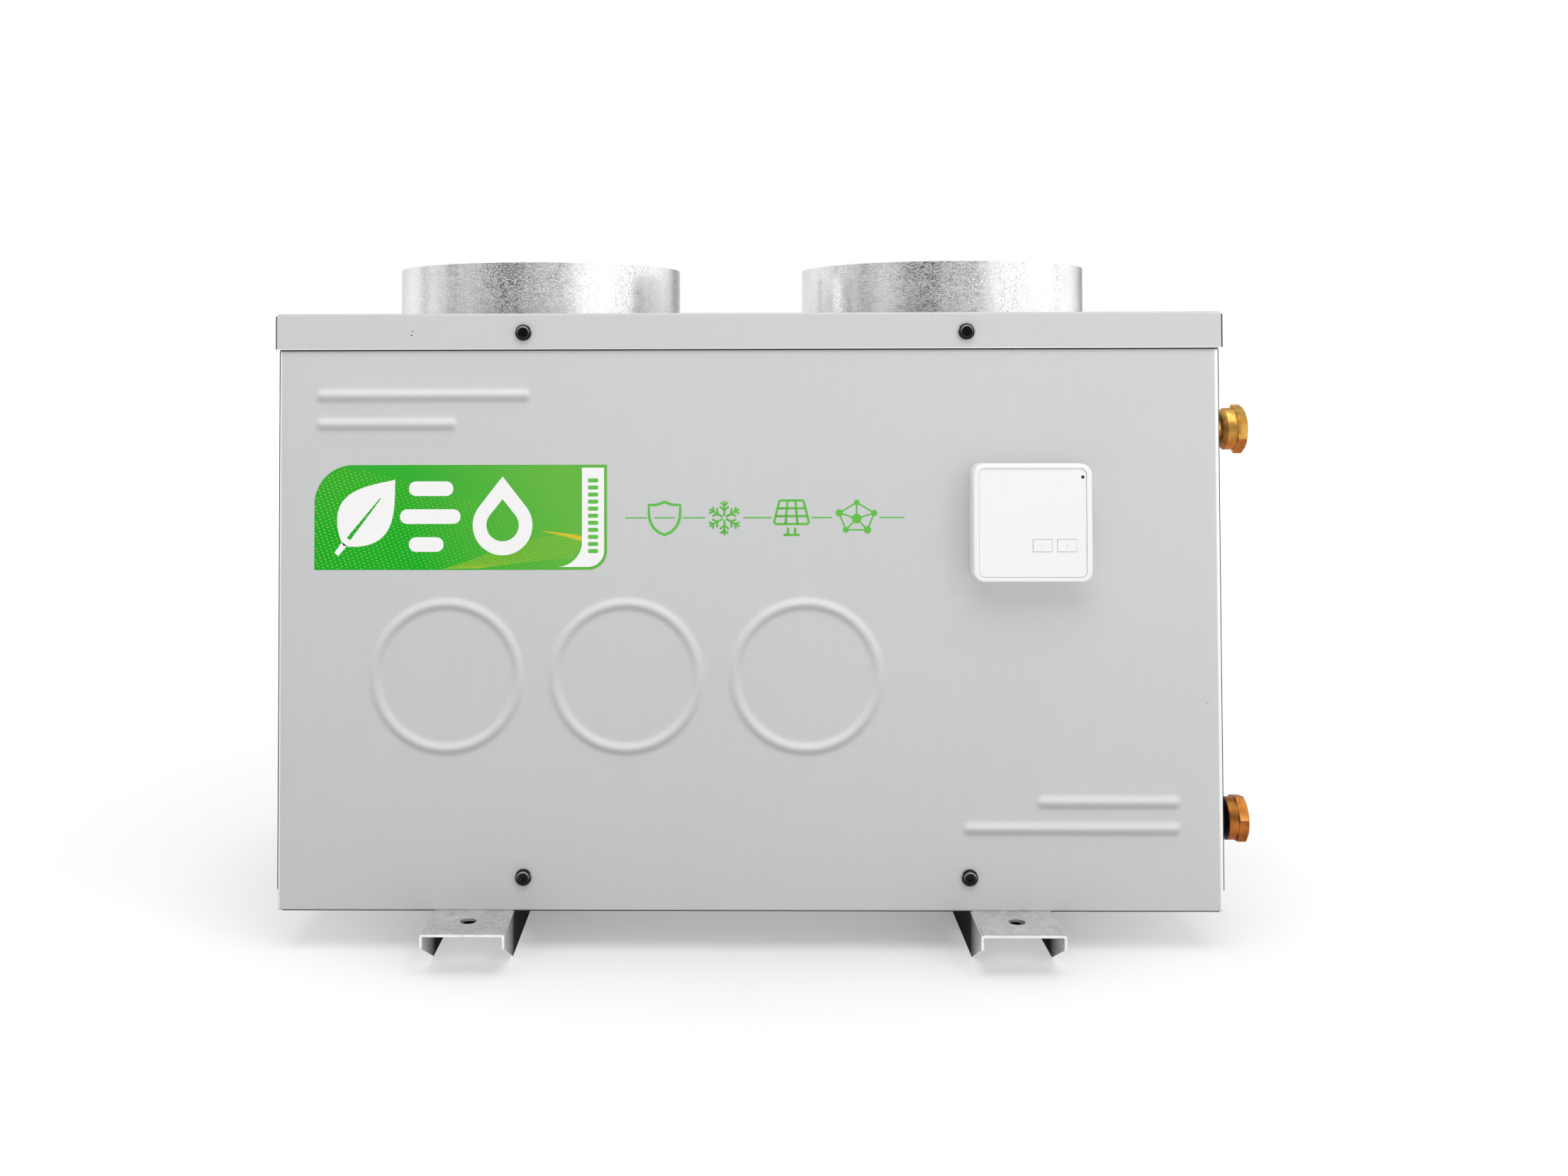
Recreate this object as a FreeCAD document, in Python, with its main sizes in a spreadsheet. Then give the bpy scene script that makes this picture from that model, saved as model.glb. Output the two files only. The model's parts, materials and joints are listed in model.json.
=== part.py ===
"""Ducted air heat unit: a sheet steel box on two foot rails, with two duct collars on its lid.

Millimetres. +Z is up and z = 0 is the floor under the foot rails. The front panel faces -Y and the
water unions stand out to +X. x = 0 and y = 0 are the middle of the whole outline, so the box itself
is centred on x = centre_x.
"""
import FreeCAD, Part
import math
import os
import re
import Sketcher

doc = FreeCAD.newDocument("ducted_heat_unit")
sheet = doc.addObject("Spreadsheet::Sheet", "dims")
Vector = FreeCAD.Vector

# alias, number, what it is
DIMENSIONS = [
    ("centre_x", -9.6, "middle of the box, so that the whole outline is centred on x = 0"),
    ("unit_width", 580, "box, side to side"),
    ("unit_depth", 320, "box, front to back"),
    ("visible_height", 344, "front panel, from its lower edge to the lid's edge"),
    ("skin", 1.2, "casing sheet"),
    ("seam", 0.5, "gap between two casing panels"),
    ("return_depth", 15, "folded side edge of the front and back panels"),
    ("tray_lip", 30, "height of the base tray"),
    ("lid_flange", 22.3, "outer height of the lid's folded edge"),
    ("lid_play", 0.3, "gap between the lid's edge and the panels"),
    ("bend_radius", 1.6, "outer radius of a folded edge"),
    ("rail_height", 26, "foot rail and floor clearance"),
    ("rail_width", 50, "foot rail, across"),
    ("rail_skin", 1.5, "foot rail sheet"),
    ("rail_reach", 45, "foot rail beyond the box, front and back"),
    ("rail_nose", 8.5, "upright front edge of the rail's flange"),
    ("rail_mitre", 39, "length of the flange's slanted end"),
    ("rail_hole_inset", 24, "fixing hole from the rail's end"),
    ("rail_hole_radius", 5, "fixing hole"),
    ("rail_left", -169, "left rail from the box's middle"),
    ("rail_right", 160, "right rail from the box's middle"),
    ("rail_bolt_inset", 40, "rail bolt from the box's front and back"),
    ("bolt_radius", 3, "rail and compressor bolts"),
    ("bolt_flats", 10, "rail bolts and nuts across their flats"),
    ("duct_radius", 99, "outside of a duct collar"),
    ("duct_skin", 0.8, "duct collar sheet"),
    ("duct_stand", 36.2, "duct collar above the lid"),
    ("duct_neck", 98.3, "duct collar's neck in the lid's hole, radius"),
    ("duct_neck_end", 1.2, "upper end of the neck's slope above the lid"),
    ("duct_flange", 9, "inner flange of a duct collar"),
    ("intake_x", -145.5, "intake collar from the box's middle"),
    ("exhaust_x", 140, "exhaust collar from the box's middle"),
    ("rivet_ring", 103.5, "collar rivets' circle"),
    ("rivet_hole", 1.7, "collar rivets' holes, radius"),
    ("screw_head", 5.05, "casing screw's head, radius"),
    ("screw_dome", 3.1, "casing screw's head, height"),
    ("screw_shank", 2, "casing screw's shank, radius"),
    ("screw_length", 9, "casing screw's shank, length"),
    ("screw_left", -138.5, "left screws from the box's middle"),
    ("screw_right", 135, "right screws from the box's middle"),
    ("screw_low", 46, "height of the lower screws"),
    ("bead_width", 8.4, "pressed bead"),
    ("bead_rise", 1.3, "pressed bead above the sheet"),
    ("ring_radius", 44.4, "pressed ring, middle of its band"),
    ("ring_width", 7.6, "pressed ring's band"),
    ("ring_height", 168.4, "pressed rings' centres above the floor"),
    ("ring_first", -186, "first pressed ring from the box's middle"),
    ("ring_pitch", 110.8, "from one pressed ring to the next"),
    ("label_left", -268, "front label's left edge from the box's middle"),
    ("label_width", 181, "front label"),
    ("label_low", 234, "front label's lower edge"),
    ("label_tall", 64.6, "front label"),
    ("label_thick", 0.4, "front label"),
    ("label_corner", 24, "front label's upper left corner, radius"),
    ("label_heel", 11.5, "front label's lower right corner, radius"),
    ("control_x", 172.6, "controller's middle from the box's middle"),
    ("control_z", 263.6, "controller's middle above the floor"),
    ("control_width", 72, "controller housing"),
    ("control_tall", 71.3, "controller housing"),
    ("control_depth", 15, "controller housing from the front panel"),
    ("control_corner", 6.5, "controller housing's corner radius"),
    ("control_wall", 1.8, "controller housing's wall"),
    ("face_width", 65.4, "faceplate recess"),
    ("face_tall", 65.9, "faceplate recess"),
    ("face_corner", 3.6, "faceplate's corner radius"),
    ("face_sink", 0.5, "faceplate below the housing's front"),
    ("face_thick", 1.6, "faceplate"),
    ("face_gap", 0.2, "gap round the faceplate and round the keys"),
    ("key_width", 11.5, "key"),
    ("key_tall", 7.2, "key"),
    ("key_z", -13.75, "keys below the controller's middle"),
    ("key_first", 5.8, "minus key from the controller's middle"),
    ("key_pitch", 14.8, "from the minus key to the plus key"),
    ("key_proud", 0.3, "key above the faceplate"),
    ("key_travel", 0.6, "how far a key goes in"),
    ("key_foot_gap", 0.3, "from the housing's front wall to a key's foot"),
    ("key_foot_end", 1.5, "from the housing's front wall to the end of a key's foot"),
    ("lamp_x", 30.4, "indicator from the controller's middle"),
    ("lamp_z", 27.7, "indicator above the controller's middle"),
    ("lamp_radius", 0.95, "indicator"),
    ("board_thick", 1.6, "circuit boards"),
    ("cable_hole", 4, "controller's cable hole in the front panel, radius"),
    ("union_y", -128, "water unions' axis, from the box's middle"),
    ("union_high", 319, "upper water union above the floor"),
    ("union_low", 74, "lower water union above the floor"),
    ("union_reach", 23.7, "upper union nut's outer end beyond the box's side"),
    ("union_low_inset", 2, "how much further in the lower union sits"),
    ("nut_flats", 27, "union nut across its flats"),
    ("nut_length", 14.5, "union nut"),
    ("nut_hex_length", 6.2, "union nut's hexagon"),
    ("nut_skirt", 13.2, "union nut's round back, radius"),
    ("nut_back", 3, "union nut's back wall"),
    ("nut_thread", 10.48, "union nut's G 1/2 thread, radius at its root"),
    ("nut_chamber", 9.6, "chamber behind the union nut's thread, radius"),
    ("nut_throat", 6.8, "hole in the union nut's back, radius"),
    ("tail_neck", 6.5, "union tail's neck, radius"),
    ("tail_collar", 8.9, "union tail's sealing collar, radius"),
    ("tail_collar_length", 2.7, "union tail's sealing collar"),
    ("tail_bore", 5, "union tail's bore, radius"),
    ("tail_pipe", 7.5, "union tail behind its hexagon, radius"),
    ("tail_flats", 17, "union tail's hexagon"),
    ("tail_hex_length", 4, "union tail's hexagon"),
    ("tail_inside", 28, "union tail inside the box"),
    ("nut_travel", 1.5, "how far a union nut slides"),
    ("ring_thick", 1.6, "retaining ring in a union nut"),
    ("grommet_radius", 13.3, "pipe grommet's flange, radius"),
    ("grommet_hole", 10.5, "hole in the side panel, radius"),
    ("gland_x", -215, "cable gland from the box's middle"),
    ("gland_z", 300, "cable gland above the floor"),
    ("gland_bore", 5, "cable gland's bore, radius"),
    ("gland_thread", 7.9, "cable gland's thread, radius"),
    ("gland_flats", 22, "cable gland and its nut across their flats"),
    ("spout_x", -24, "condensate spout from the box's middle"),
    ("spout_z", 44.5, "condensate spout above the floor"),
    ("spout_radius", 8, "condensate spout, outside"),
    ("spout_reach", 30, "condensate spout beyond the back panel"),
    ("shell_x", -212, "compressor's axis from the box's middle"),
    ("shell_y", 62, "compressor's axis from the box's middle"),
    ("shell_radius", 58, "compressor shell"),
    ("shell_low", 52, "compressor shell's lower end"),
    ("shell_high", 246, "compressor shell's upper end"),
    ("accumulator_x", -127, "accumulator's axis from the box's middle"),
    ("accumulator_low", 100, "accumulator's lower end"),
    ("fan_x", 128, "fan's axis from the box's middle"),
    ("fan_z", 168, "fan's axis above the floor"),
    ("fan_radius", 82, "fan impeller"),
    ("fan_front", -26, "fan impeller's front edge"),
    ("fan_width", 76, "fan impeller along its axis"),
    ("fan_shaft", 5, "fan's shaft, radius"),
    ("fan_running_gap", 0.05, "fan shaft in the rotor's bush"),
    ("fan_blades", 28, "blades of the impeller"),
    ("scroll_growth", 26, "how much the scroll's radius grows"),
    ("pipe_radius", 4.75, "refrigerant pipe"),
    ("coil_x", -24, "evaporator's middle from the box's middle"),
    ("coil_front", -94, "evaporator's front end"),
    ("coil_length", 228, "evaporator, front to back"),
    ("coil_low", 66, "evaporator's lower edge"),
    ("coil_tall", 304, "evaporator"),
    ("coil_deep", 44, "evaporator, along the air"),
    ("fin_pitch", 4, "evaporator fins"),
    ("fin_thick", 0.4, "evaporator fin"),
    ("exchanger_x", 150, "plate heat exchanger's middle from the box's middle"),
    ("exchanger_low", 128, "plate heat exchanger's lower end"),
    ("exchanger_high", 292, "plate heat exchanger's upper end"),
    ("pump_x", 206, "circulation pump's middle from the box's middle"),
]
ALIASES = {alias for alias, number, meaning in DIMENSIONS}
for row, (alias, number, meaning) in enumerate(DIMENSIONS, start=1):
    sheet.set(f"A{row}", meaning)
    sheet.set(f"B{row}", str(number))
    sheet.setAlias(f"B{row}", alias)
doc.recompute()

# Places that follow from the driving dimensions, as sheet expressions.
LID_UNDER = "(rail_height + visible_height + lid_flange - skin)"
LID_TOP = "(rail_height + visible_height + lid_flange)"
RIM = f"({LID_TOP} + duct_stand)"
PANEL_TOP = f"({LID_UNDER} - 0.2)"
FRONT = "(-unit_depth / 2)"
SIDE = "(unit_width / 2)"
TRAY_SIDE = "(unit_width / 2 - skin)"
TRAY_FRONT = "(unit_depth / 2 - skin)"
LID_SCREW_Z = "(rail_height + visible_height + lid_flange / 2 - 0.9)"
FLOOR_TOP = "(rail_height + skin)"
CONTROL_FRONT = f"({FRONT} - control_depth)"
FACE_FRONT = f"({CONTROL_FRONT} + face_sink)"

ALONG_X = FreeCAD.Rotation(Vector(0, 1, 0), 90)
ALONG_Y = FreeCAD.Rotation(Vector(1, 0, 0), -90)
ALONG_MINUS_Y = FreeCAD.Rotation(Vector(1, 0, 0), 90)
X_AXIS = Vector(1, 0, 0)
Y_AXIS = Vector(0, 1, 0)
Z_AXIS = Vector(0, 0, 1)

subparts = []


def bound(expression):
    """The expression with the sheet's name before each alias, as setExpression wants it."""
    return re.sub(r"[a-z_]+", lambda word: "dims." + word[0] if word[0] in ALIASES else word[0], expression)


def size(expression):
    """The number that an expression over the sheet gives now."""
    return float(sheet.evalExpression(bound(f"1.0 * ({expression})")))


def spot(across, along, up):
    """A point from three expressions, counted from the middle of the box."""
    return Vector(size(f"centre_x + {across}"), size(along), size(up))


def place(thing, across="0", along="0", up="0", turn=None):
    """Bind an object's place to the sheet, counted from the middle of the box."""
    if turn is not None:
        thing.Placement = FreeCAD.Placement(Vector(), turn)
    thing.setExpression("Placement.Base.x", bound(f"centre_x + {across}"))
    thing.setExpression("Placement.Base.y", bound(along))
    thing.setExpression("Placement.Base.z", bound(up))
    return thing


def keep(thing, label):
    """Name an object as one of the unit's sub-parts."""
    thing.Label = label
    subparts.append(thing)
    return thing


# ---- primitives and booleans ----

def box(low, high):
    """A box between two corners, each three expressions."""
    thing = doc.addObject("Part::Box", "block")
    for name, start, end in zip(("Length", "Width", "Height"), low, high):
        thing.setExpression(name, bound(f"({end}) - ({start})"))
    return place(thing, *(f"({start})" for start in low))


def cylinder(radius, length, start, turn=None):
    """A round bar from a start point, along +Z or as turned."""
    thing = doc.addObject("Part::Cylinder", "bar")
    thing.setExpression("Radius", bound(radius))
    thing.setExpression("Height", bound(length))
    return place(thing, *start, turn)


def ball(radius, centre):
    """A ball about a centre."""
    thing = doc.addObject("Part::Sphere", "ball")
    thing.setExpression("Radius", bound(radius))
    return place(thing, *centre)


def ring(big, small, centre, turn=None):
    """A torus about a centre."""
    thing = doc.addObject("Part::Torus", "ring")
    thing.setExpression("Radius1", bound(big))
    thing.setExpression("Radius2", bound(small))
    return place(thing, *centre, turn)


def joined(pieces):
    """Pieces fused into one, or the only piece itself."""
    if len(pieces) == 1:
        return pieces[0]
    thing = doc.addObject("Part::MultiFuse", "joined")
    thing.Shapes = pieces
    return thing


def less(base, tools):
    """The base with all the tools cut out of it."""
    thing = doc.addObject("Part::Cut", "cut")
    thing.Base = base
    thing.Tool = joined(tools)
    return thing


def overlap(first, second):
    """What two pieces share."""
    thing = doc.addObject("Part::Common", "overlap")
    thing.Base = first
    thing.Tool = second
    return thing


def group(pieces):
    """Several separate solids as one object."""
    thing = doc.addObject("Part::Compound", "group")
    thing.Links = pieces
    return thing


def shaped(label, shape):
    """A sub-part whose shape is made in code from sizes read from the sheet."""
    thing = doc.addObject("Part::Feature", label)
    thing.Shape = shape
    return keep(thing, label)


# ---- bodies, sketches and features ----

def blank(label, across="0", along="0", up="0", turn=None):
    """A PartDesign body that is cut, joined or grouped into a sub-part later."""
    thing = doc.addObject("PartDesign::Body", label)
    return place(thing, across, along, up, turn)


def body(label, across="0", along="0", up="0", turn=None):
    """A PartDesign body that is a sub-part itself."""
    return keep(blank(label, across, along, up, turn), label)


def sketch(owner, role, offset="0"):
    """A sketch on one of the body's own origin planes, moved along that plane's normal."""
    thing = owner.newObject("Sketcher::SketchObject", "outline")
    plane = next(feature for feature in owner.Origin.OriginFeatures if feature.Role == role)
    thing.AttachmentSupport = [(plane, "")]
    thing.MapMode = "FlatFace"
    thing.setExpression("AttachmentOffset.Base.z", bound(offset))
    return thing


def pin(drawing, index, end, across, up):
    """Fix a point of the drawing at two distances from the sketch's origin."""
    for kind, distance in (("DistanceX", across), ("DistanceY", up)):
        rule = Sketcher.Constraint(kind, -1, 1, index, end, size(distance))
        number = drawing.addConstraint(rule)
        drawing.setExpression(f"Constraints[{number}]", bound(distance))


def polygon(drawing, points):
    """A closed outline of straight lines through points given as expressions."""
    first = drawing.GeometryCount
    count = len(points)
    places = [Vector(size(across), size(up), 0) for across, up in points]
    lines = [Part.LineSegment(places[i], places[(i + 1) % count]) for i in range(count)]
    drawing.addGeometry(lines, False)
    for i in range(count):
        corner = Sketcher.Constraint("Coincident", first + i, 2, first + (i + 1) % count, 1)
        drawing.addConstraint(corner)
    for i, (across, up) in enumerate(points):
        pin(drawing, first + i, 1, across, up)
    return drawing


def rectangle(drawing, left, low, right, high):
    """A closed rectangle between two corners."""
    return polygon(drawing, [(left, low), (right, low), (right, high), (left, high)])


def circle(drawing, across, up, radius):
    """A circle about a point of the sketch."""
    centre = Vector(size(across), size(up), 0)
    index = drawing.addGeometry(Part.Circle(centre, Z_AXIS, size(radius)), False)
    number = drawing.addConstraint(Sketcher.Constraint("Radius", index, size(radius)))
    drawing.setExpression(f"Constraints[{number}]", bound(radius))
    pin(drawing, index, 3, across, up)
    return drawing


def hexagon(drawing, flats, turn=0):
    """A hexagon about the sketch's origin, with a corner at an angle called turn from the vertical axis."""
    corner = f"{flats} / sqrt(3)"
    steps = [(math.sin(math.radians(turn + 60 * i)), math.cos(math.radians(turn + 60 * i))) for i in range(6)]
    return polygon(drawing, [(f"{corner} * {x:.9f}", f"{corner} * {y:.9f}") for x, y in steps])


def pad(owner, drawing, length, both_ways=False):
    """Raise a drawing along its normal, or half the length to each side."""
    feature = owner.newObject("PartDesign::Pad", "pad")
    feature.Profile = drawing
    feature.setExpression("Length", bound(length))
    if both_ways:
        feature.SideType = "Symmetric"
    return feature


def pocket(owner, drawing, length):
    """Cut a drawing out of the body, half the length to each side of the drawing."""
    feature = owner.newObject("PartDesign::Pocket", "pocket")
    feature.Profile = drawing
    feature.setExpression("Length", bound(length))
    feature.SideType = "Symmetric"
    return feature


def revolve(owner, points, groove=False):
    """Turn an outline of (radius, height) points about the body's own Z axis."""
    drawing = polygon(sketch(owner, "XZ_Plane"), points)
    kind = "PartDesign::Groove" if groove else "PartDesign::Revolution"
    feature = owner.newObject(kind, "turned")
    feature.Profile = drawing
    feature.ReferenceAxis = (drawing, ["V_Axis"])
    feature.Angle = 360
    return feature


def edges_where(feature, test):
    """Names of the feature's edges that pass a test."""
    doc.recompute()
    return [f"Edge{i}" for i, edge in enumerate(feature.Shape.Edges, start=1) if test(edge)]


def runs_along(axis):
    """A test for straight edges along an axis."""
    def test(edge):
        if edge.Curve.TypeId != "Part::GeomLine":
            return False
        return edge.Curve.Direction.cross(axis).Length < 1e-6
    return test


def lies_at(axis, height):
    """A test for edges that lie wholly at one height along an axis."""
    def test(edge):
        middle = edge.valueAt((edge.FirstParameter + edge.LastParameter) / 2)
        ends = [vertex.Point for vertex in edge.Vertexes] + [middle]
        return all(abs(point.dot(axis) - height) < 1e-4 for point in ends)
    return test


def round_off(owner, feature, test, radius):
    """Fillet the edges that pass a test."""
    names = edges_where(feature, test)
    rounded = owner.newObject("PartDesign::Fillet", "rounded")
    rounded.Base = (feature, names)
    rounded.setExpression("Radius", bound(radius))
    return rounded


def turned(label, points, across="0", along="0", up="0", turn=None):
    """A body turned from one outline of (radius, height) points."""
    thing = body(label, across, along, up, turn)
    revolve(thing, points)
    return thing


# ---- casing ----

def screw_places():
    """Where the casing screws go: (place, direction of the shank)."""
    lid_side = f"{SIDE} + lid_play + skin"
    lid_front = "unit_depth / 2 + lid_play + skin"
    low, high = "screw_low", LID_SCREW_Z
    places = []
    for across in ("screw_left", "screw_right"):
        places.append((spot(across, f"-({lid_front})", high), Y_AXIS))
        places.append((spot(across, lid_front, high), -Y_AXIS))
        places.append((spot(across, FRONT, low), Y_AXIS))
        places.append((spot(across, "unit_depth / 2", low), -Y_AXIS))
    places.append((spot(f"-({lid_side})", "0", high), X_AXIS))
    places.append((spot(lid_side, "0", high), -X_AXIS))
    for along in ("-unit_depth / 4", "unit_depth / 4"):
        places.append((spot(f"-{SIDE}", along, low), X_AXIS))
        places.append((spot(SIDE, along, low), -X_AXIS))
    return places


def screw_shape():
    """One casing screw along +Z: the shank goes up from z = 0 and the domed head is below it."""
    head = size("screw_head")
    dome = size("screw_dome")
    shank = Part.makeCylinder(size("screw_shank"), size("screw_length"))
    rim = 0.9
    top = Part.makeCylinder(head, dome, Vector(0, 0, -dome))
    crown = [edge for edge in top.Edges if abs(edge.BoundBox.ZMax + dome) < 1e-6 and edge.Closed]
    top = top.makeFillet(dome - rim, crown)
    socket_depth = 1.8
    lobes = [Part.makeCylinder(1.45, socket_depth, Vector(0, 0, -dome))]
    for i in range(6):
        angle = math.radians(60 * i)
        centre = Vector(1.45 * math.cos(angle), 1.45 * math.sin(angle), -dome)
        lobes.append(Part.makeCylinder(0.52, socket_depth, centre))
    return top.fuse(shank).cut(lobes[0].multiFuse(lobes[1:])).removeSplitter()


def copies(shape, places):
    """The shape at each place, with its own Z turned to the direction given."""
    made = []
    for point, direction in places:
        copy = shape.copy()
        copy.Placement = FreeCAD.Placement(point, FreeCAD.Rotation(Z_AXIS, direction))
        made.append(copy)
    return Part.makeCompound(made)


def screw_holes(radius, length, heights=("screw_low", LID_SCREW_Z)):
    """Bars that drill the front-to-back screw holes."""
    bars = []
    for across in ("screw_left", "screw_right"):
        for up in heights:
            bars.append(cylinder(radius, length, (across, f"-({length}) / 2", up), ALONG_Y))
    return bars


def side_screw_holes(radius, length):
    """Bars that drill the lower screw holes of the two sides."""
    return [cylinder(radius, length, (f"-({length}) / 2", along, "screw_low"), ALONG_X)
            for along in ("-unit_depth / 4", "unit_depth / 4")]


HOLE = "screw_shank + 0.15"
BOLT_HOLE = "bolt_radius + 0.2"
THROUGH_DEPTH = "unit_depth + 20"
THROUGH_WIDTH = "unit_width + 20"


def bore_bar(radius, across, up):
    """A bar along Y through the back wall only."""
    return cylinder(radius, "40", (across, "unit_depth / 2 - 20", up), ALONG_Y)


def base_tray():
    """An open tray with upright lips, that the panels are screwed to."""
    outer = box((f"-{TRAY_SIDE}", f"-{TRAY_FRONT}", "rail_height"),
                (TRAY_SIDE, TRAY_FRONT, "rail_height + tray_lip"))
    inner = box((f"-{TRAY_SIDE} + skin", f"-{TRAY_FRONT} + skin", FLOOR_TOP),
                (f"{TRAY_SIDE} - skin", f"{TRAY_FRONT} - skin", "rail_height + tray_lip + 1"))
    holes = screw_holes(HOLE, THROUGH_DEPTH, ("screw_low",)) + side_screw_holes(HOLE, THROUGH_WIDTH)
    holes += [cylinder(BOLT_HOLE, "10", (across, along, "rail_height - 5")) for across, along in rail_bolts()]
    holes.append(bore_bar("spout_radius + 0.3", "spout_x", "spout_z"))
    keep(less(outer, [inner] + holes), "base_tray")


def fold_panel(front):
    """A front or back panel's block with its rounded bends, and the block that hollows it out."""
    if front:
        start, end = FRONT, "(-unit_depth / 2 + return_depth)"
        inner_start, inner_end = f"{FRONT} + skin", "0"
    else:
        start, end = "(unit_depth / 2 - return_depth)", "(unit_depth / 2)"
        inner_start, inner_end = "0", "unit_depth / 2 - skin"
    outer = blank("sheet_block")
    block = pad(outer, rectangle(sketch(outer, "XY_Plane", "rail_height"), f"-{SIDE}", start, SIDE, end),
                f"{PANEL_TOP} - rail_height")
    edge = size(FRONT if front else "unit_depth / 2")
    upright = runs_along(Z_AXIS)
    round_off(outer, block, lambda e: upright(e) and abs(e.Vertexes[0].Y - edge) < 1e-6, "bend_radius")
    inner = box((f"-{SIDE} + skin", inner_start, "0"), (f"{SIDE} - skin", inner_end, "500"))
    return outer, inner


# The beads' round ends from the box's middle, and their heights above the floor.
BEADS = [("-263.5", "-138", "341.5"), ("-263.5", "-183.5", "323.7"),
         ("180", "260.3", "91.7"), ("134.8", "260.3", "75.6")]


def pressed_shapes(sink):
    """Beads and rings of the front panel, as whole round bars that lie partly behind the sheet.

    sink is how much smaller than the outer surface they are: 0 for the front of the pressing, the
    sheet's thickness for the hollow behind it.
    """
    def bar_radius(width):
        return f"(({width}) * ({width}) / 4 + bead_rise * bead_rise) / (2 * bead_rise)"

    bead = bar_radius("bead_width")
    depth = f"{FRONT} + {bead} - bead_rise"
    shapes = []
    for left, right, height in BEADS:
        radius = f"{bead} - {sink}"
        shapes.append(cylinder(radius, f"{right} - ({left})", (left, depth, height), ALONG_X))
        shapes += [ball(radius, (end, depth, height)) for end in (left, right)]
    band = bar_radius("ring_width")
    for i in range(3):
        centre = (f"ring_first + {i} * ring_pitch", f"{FRONT} + {band} - bead_rise", "ring_height")
        shapes.append(ring("ring_radius", f"{band} - {sink}", centre, ALONG_Y))
    return shapes


def front_panel():
    """The folded front sheet with its pressed beads and rings, hollow behind."""
    outer, inner = fold_panel(front=True)
    proud = box((f"-{SIDE} + 10", f"{FRONT} - 5", "rail_height + 10"),
                (f"{SIDE} - 10", f"{FRONT} + skin / 2", PANEL_TOP))
    hollow = box((f"-{SIDE} + 10", f"{FRONT} - 5", "rail_height + 10"),
                 (f"{SIDE} - 10", f"{FRONT} + skin + 0.5", PANEL_TOP))
    pressing = overlap(joined(pressed_shapes("0")), proud)
    sheet_part = joined([less(outer, [inner]), pressing])
    relief = overlap(joined(pressed_shapes("skin")), hollow)
    holes = screw_holes(HOLE, THROUGH_DEPTH)
    holes.append(cylinder("cable_hole", "20", ("control_x", f"{FRONT} - 10", "control_z"), ALONG_Y))
    keep(less(sheet_part, [relief] + holes), "front_panel")


def back_panel():
    """The folded back sheet with its holes for the spout and the gland."""
    outer, inner = fold_panel(front=False)
    holes = screw_holes(HOLE, THROUGH_DEPTH)
    holes.append(bore_bar("spout_radius + 0.3", "spout_x", "spout_z"))
    holes.append(bore_bar("gland_thread + 0.3", "gland_x", "gland_z"))
    keep(less(outer, [inner] + holes), "back_panel")


def side_panel(label, sign):
    """A flat side sheet between the two folded panels. sign is 1 on the side with the unions."""
    edges = sorted([f"{sign} * {SIDE}", f"{sign} * {TRAY_SIDE}"], key=size)
    along = "unit_depth / 2 - return_depth - seam"
    plate = box((edges[0], f"-({along})", "rail_height"), (edges[1], along, PANEL_TOP))
    holes = side_screw_holes(HOLE, THROUGH_WIDTH)
    holes.append(cylinder(HOLE, THROUGH_WIDTH, (f"-({THROUGH_WIDTH}) / 2", "0", LID_SCREW_Z), ALONG_X))
    if sign > 0:
        for up in ("union_high", "union_low"):
            holes.append(cylinder("grommet_hole", "40", (f"{SIDE} - 20", "union_y", up), ALONG_X))
    keep(less(plate, holes), label)


def top_lid():
    """The folded lid, which overlaps the panels all round, with its two duct holes."""
    side = f"({SIDE} + lid_play + skin)"
    front = "(unit_depth / 2 + lid_play + skin)"
    base = blank("lid_block")
    block = pad(base, rectangle(sketch(base, "XY_Plane", "rail_height + visible_height"),
                                f"-{side}", f"-{front}", side, front), "lid_flange")
    top = size(LID_TOP)
    round_off(base, block, lies_at(Z_AXIS, top), "bend_radius")
    inner = box((f"-{side} + skin", f"-{front} + skin", "rail_height"),
                (f"{side} - skin", f"{front} - skin", LID_UNDER))
    tools = [inner] + screw_holes(HOLE, THROUGH_DEPTH, (LID_SCREW_Z,))
    tools.append(cylinder(HOLE, THROUGH_WIDTH, (f"-({THROUGH_WIDTH}) / 2", "0", LID_SCREW_Z), ALONG_X))
    for across in ("intake_x", "exhaust_x"):
        tools.append(cylinder("duct_radius + 0.2", "40", (across, "0", f"{LID_TOP} - 20")))
        tools += [cylinder("rivet_hole", "40", (x, y, f"{LID_TOP} - 20")) for x, y in rivet_places(across)]
    keep(less(base, tools), "top_lid")


def casing_screws():
    """All the domed screws of the casing, as one group."""
    shaped("casing_screws", copies(screw_shape(), screw_places()))


# ---- feet ----

def rail_bolts():
    """Where the bolts hold the rails to the tray."""
    return [(across, f"{sign}(unit_depth / 2 - rail_bolt_inset)")
            for across in ("rail_left", "rail_right") for sign in ("", "-")]


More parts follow.
